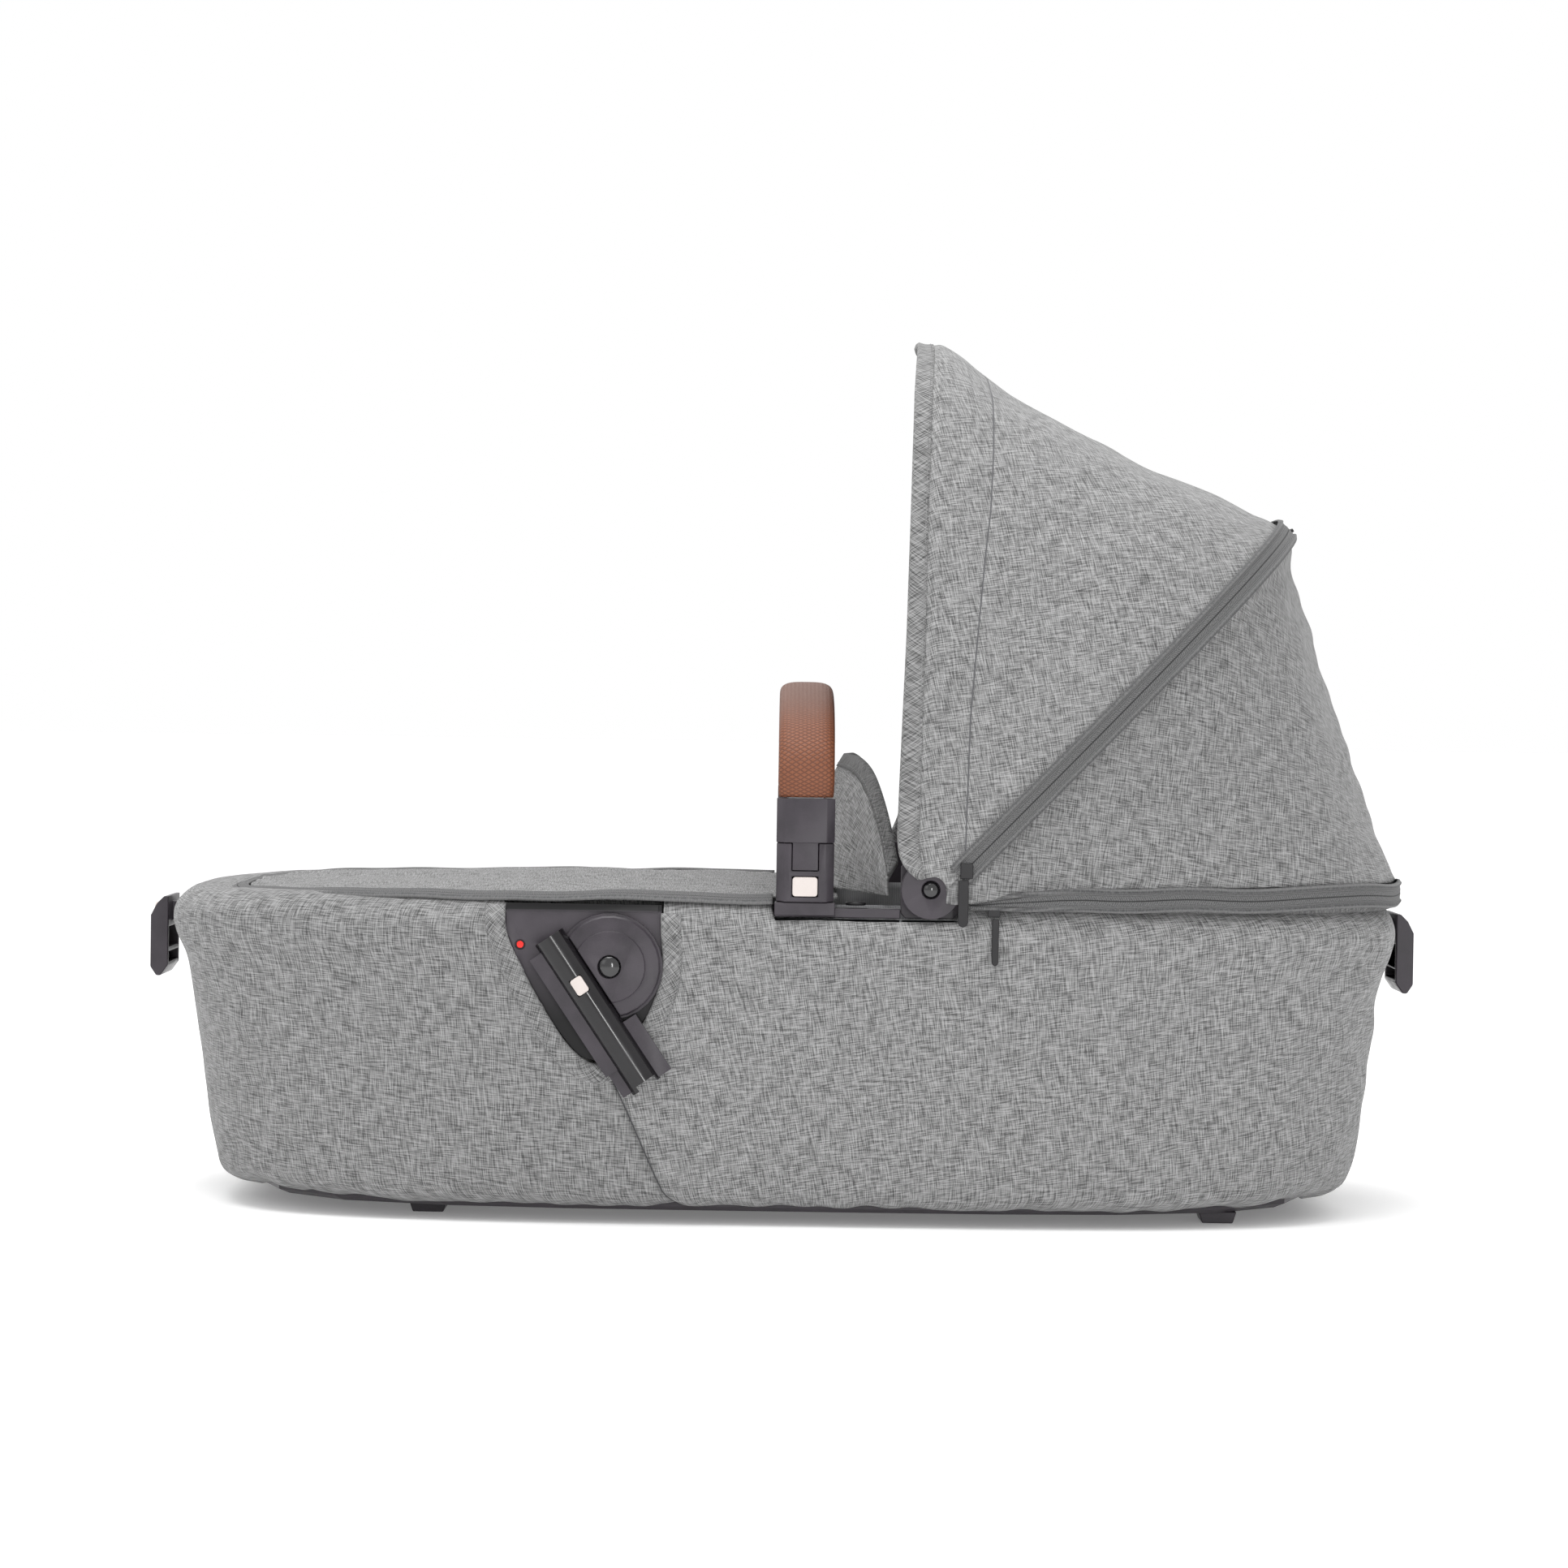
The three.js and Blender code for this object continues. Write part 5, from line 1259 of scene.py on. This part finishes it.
# ---- lining and mattress ----
def make_lining():
    """Inner bag: the rim's plan at each height, drawn in towards the floor, with soft upright pleats."""
    low, high = box_mm("lining")
    profile = smooth_line([(60, 54, low[2] + 4), (48, 42, low[2] + 9), (45, 40, 80), (43, 38, 130),
                           (41.5, 36.6, 180), (39.5, 34.6, high[2] + 4)], 40)
    along = np.linspace(0, rim_length, 521)[:-1][None]
    z = profile[:, 2:3]
    grid = ring(along, profile[:, :1], profile[:, 1:2], z)
    n = normals(grid, tub_middle, closed=True)
    soft = 0.8 * ripple(81, along, z * 0.35, 42) * bell(z - 120, 70)
    grid = grid + n * soft[..., None]
    made = surface("lining_cloth", grid, wrap=(False, True), away_from=tub_middle)
    finish(thicken(made, 1.4, 1.0), lining_cloth, "cot", ["lining"])


make_lining()


def make_mattress():
    """Foam pad in a knitted cover: a rounded slab on the plan's shape, crowned, and swollen by a short cloth
    simulation."""
    low, high = box_mm("mattress")
    profile = smooth_line([(150, 130, low[2] + 0.5), (66, 60, low[2] + 0.5), (57, 51, low[2] + 6),
                           (54.5, 48.5, 55), (56, 50, 64), (64, 58, high[2] - 4), (110, 95, high[2] - 1.6),
                           (190, 165, high[2] - 1)], 34)
    along = np.linspace(0, rim_length, 361)[:-1][None]
    grid = ring(along, profile[:, :1], profile[:, 1:2], profile[:, 2:3])
    made = surface("mattress_pad", grid, wrap=(False, True), away_from=np.array([2.5, 0, 56.0]))
    close_ends(made)
    swell(made, limit=2.5)
    finish(made, mattress_cloth, "cot", ["mattress"])


def swell(piece, limit):
    """Remeshes a pad at 6 mm and blows it up as cloth for 20 frames. No point moves more than limit mm."""
    remesh = piece.modifiers.new("remesh", "REMESH")
    remesh.mode, remesh.voxel_size = "VOXEL", 0.006
    bpy.context.view_layer.objects.active = piece
    for other in bpy.context.selected_objects:
        other.select_set(False)
    piece.select_set(True)
    bpy.ops.object.modifier_apply(modifier=remesh.name)
    count = len(piece.data.vertices)
    before = np.zeros(count * 3, np.float32)
    piece.data.vertices.foreach_get("co", before)
    cloth = piece.modifiers.new("cloth", "CLOTH")
    cloth.settings.use_pressure = True
    cloth.settings.uniform_pressure_force = 4
    cloth.settings.effector_weights.gravity = 0
    cloth.point_cache.frame_start, cloth.point_cache.frame_end = 1, 20
    for f in range(1, 21):
        bpy.context.scene.frame_set(f)
    bpy.ops.object.modifier_apply(modifier=cloth.name)
    bpy.context.scene.frame_set(1)
    after = np.zeros(count * 3, np.float32)
    piece.data.vertices.foreach_get("co", after)
    move = (after - before).reshape(-1, 3)
    size = np.linalg.norm(move, axis=1, keepdims=True)
    move *= np.minimum(1, limit * MM / np.maximum(size, 1e-9))
    piece.data.vertices.foreach_set("co", (before.reshape(-1, 3) + move).ravel())
    smooth = piece.modifiers.new("soft", "SUBSURF")
    smooth.levels = smooth.render_levels = 1
    piece.data.shade_smooth()


make_mattress()


# ---- carry handle ----
def make_grip():
    """Padded sleeve carried along the handle's arch: a rounded section that swells a little between its ends
    and is gathered by a stitched hem above each plastic sleeve."""
    low, high = box_mm("handle_grip")
    middle_x, leg = (low[0] + high[0]) / 2, high[1] - 10
    shoulder, crest = 286.0, high[2] - 10
    angle = np.linspace(math.pi, 0, 400)
    c, s = np.cos(angle), np.sin(angle)
    radius = (abs(c) ** 2.6 + abs(s) ** 2.6) ** (-1 / 2.6)
    arch = np.stack([0 * c, leg * radius * c, shoulder + (crest - shoulder) * radius * s], axis=1)
    foot = np.array([[0, -leg, low[2] + 0.4]])
    line = resample(np.concatenate([foot, arch, foot * [1, -1, 1]]), 260) + [middle_x, 0, 0]
    total = np.linalg.norm(np.diff(line, axis=0), axis=1).sum()
    from_end = np.minimum(np.linspace(0, total, 260), np.linspace(total, 0, 260))
    section = oval(18.0, 10.0, 3.4, 56)
    size = 0.955 + 0.045 * step(from_end, 0, 9)
    size = size - 0.012 * bell(from_end - 6.5, 1.6)
    gather = 0.35 * np.cos(np.arange(56) / 56 * 2 * math.pi * 26)[None] * bell(from_end - 3, 4)[:, None]
    shaped = section[None] * size[:, None, None]
    shaped = shaped * (1 + gather[..., None] / 18)
    across = np.broadcast_to([1.0, 0, 0], line.shape)
    made = tube("handle_grip_cover", line, shaped, across)
    # Painted sheen: the top of the arch, 318 to 345 mm up, is marked to be painted greyer where it faces the
    # sky.
    height = np.array([v.co.z for v in made.data.vertices]) / MM
    painted_sheen_share = step(height, 318, 345) * 0.75
    crest = made.data.attributes.new("crest", "FLOAT", "POINT")
    crest.data.foreach_set("value", painted_sheen_share.astype(np.float32))
    finish(made, skin, "carry_handle", ["handle_grip"])


make_grip()

# ---- hardware ----
def polish_tube(arm, side):
    """Gives the half-round tube along the arm a polished face. Across the arm, the tube's middle lies 21.9 mm
    from the pivot, and it is 10.5 mm in radius."""
    pivot = np.array(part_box("adapter_hub_" + side)).mean(0) / MM
    arm.data.materials.append(tube_plastic)
    for face in arm.data.polygons:
        x, y, z = np.array(face.center) / MM
        across = (x - pivot[0]) * 0.829 + (z - pivot[2]) * 0.559
        if abs(across + 21.9) < 10.4 and abs(y) > 215:
            face.material_index = 1
    return arm


for end in ("foot", "head"):
    softened("grip_%s_end" % end, 1.0, plastic)
    for side in ("right", "left"):
        softened("foot_%s_%s" % (end, side), 0.8, plastic)
for side in ("right", "left"):
    softened("adapter_plate_" + side, 0.8, plate_plastic_painted_shade)
    softened("adapter_hub_" + side, 0.5, plastic)
    softened("adapter_rivet_" + side, 0.2, gloss_plastic)
    polish_tube(softened("adapter_arm_" + side, 0.8, plastic), side)
    softened("adapter_button_" + side, 0.9, white_plastic)
    softened("lock_indicator_" + side, 0.3, red_plastic)
    softened("handle_socket_" + side, 0.9, plastic)
    softened("handle_button_" + side, 1.2, white_plastic)
    softened("handle_end_" + side, 0.9, plastic)
    softened("rim_rail_" + side, 1.0, plastic)
    softened("hinge_base_" + side, 1.0, plastic)
    softened("hinge_disc_" + side, 0.5, plastic)
    softened("hinge_pin_" + side, 0.2, gloss_plastic)
softened("grip_button", 0.8, white_plastic)
for name in ("hoop_zip_slider", "hoop_zip_tab", "rim_zip_slider", "rim_zip_tab"):
    softened(name, 0.5, zip_plastic)

CARRIED = {
    "base_tray": plastic, "front_hoop": plastic, "mid_hoop": plastic, "rim_tube": aluminium,
    "handle_strip": aluminium, "wall_stiffener": board, "grip_spring": steel,
    "adapter_spring_right": steel, "adapter_spring_left": steel, "handle_spring_right": steel,
    "handle_spring_left": steel,
}
for node, material in CARRIED.items():
    mesh = frame["nodes"][node].data
    mesh.materials.clear()
    mesh.materials.append(material)
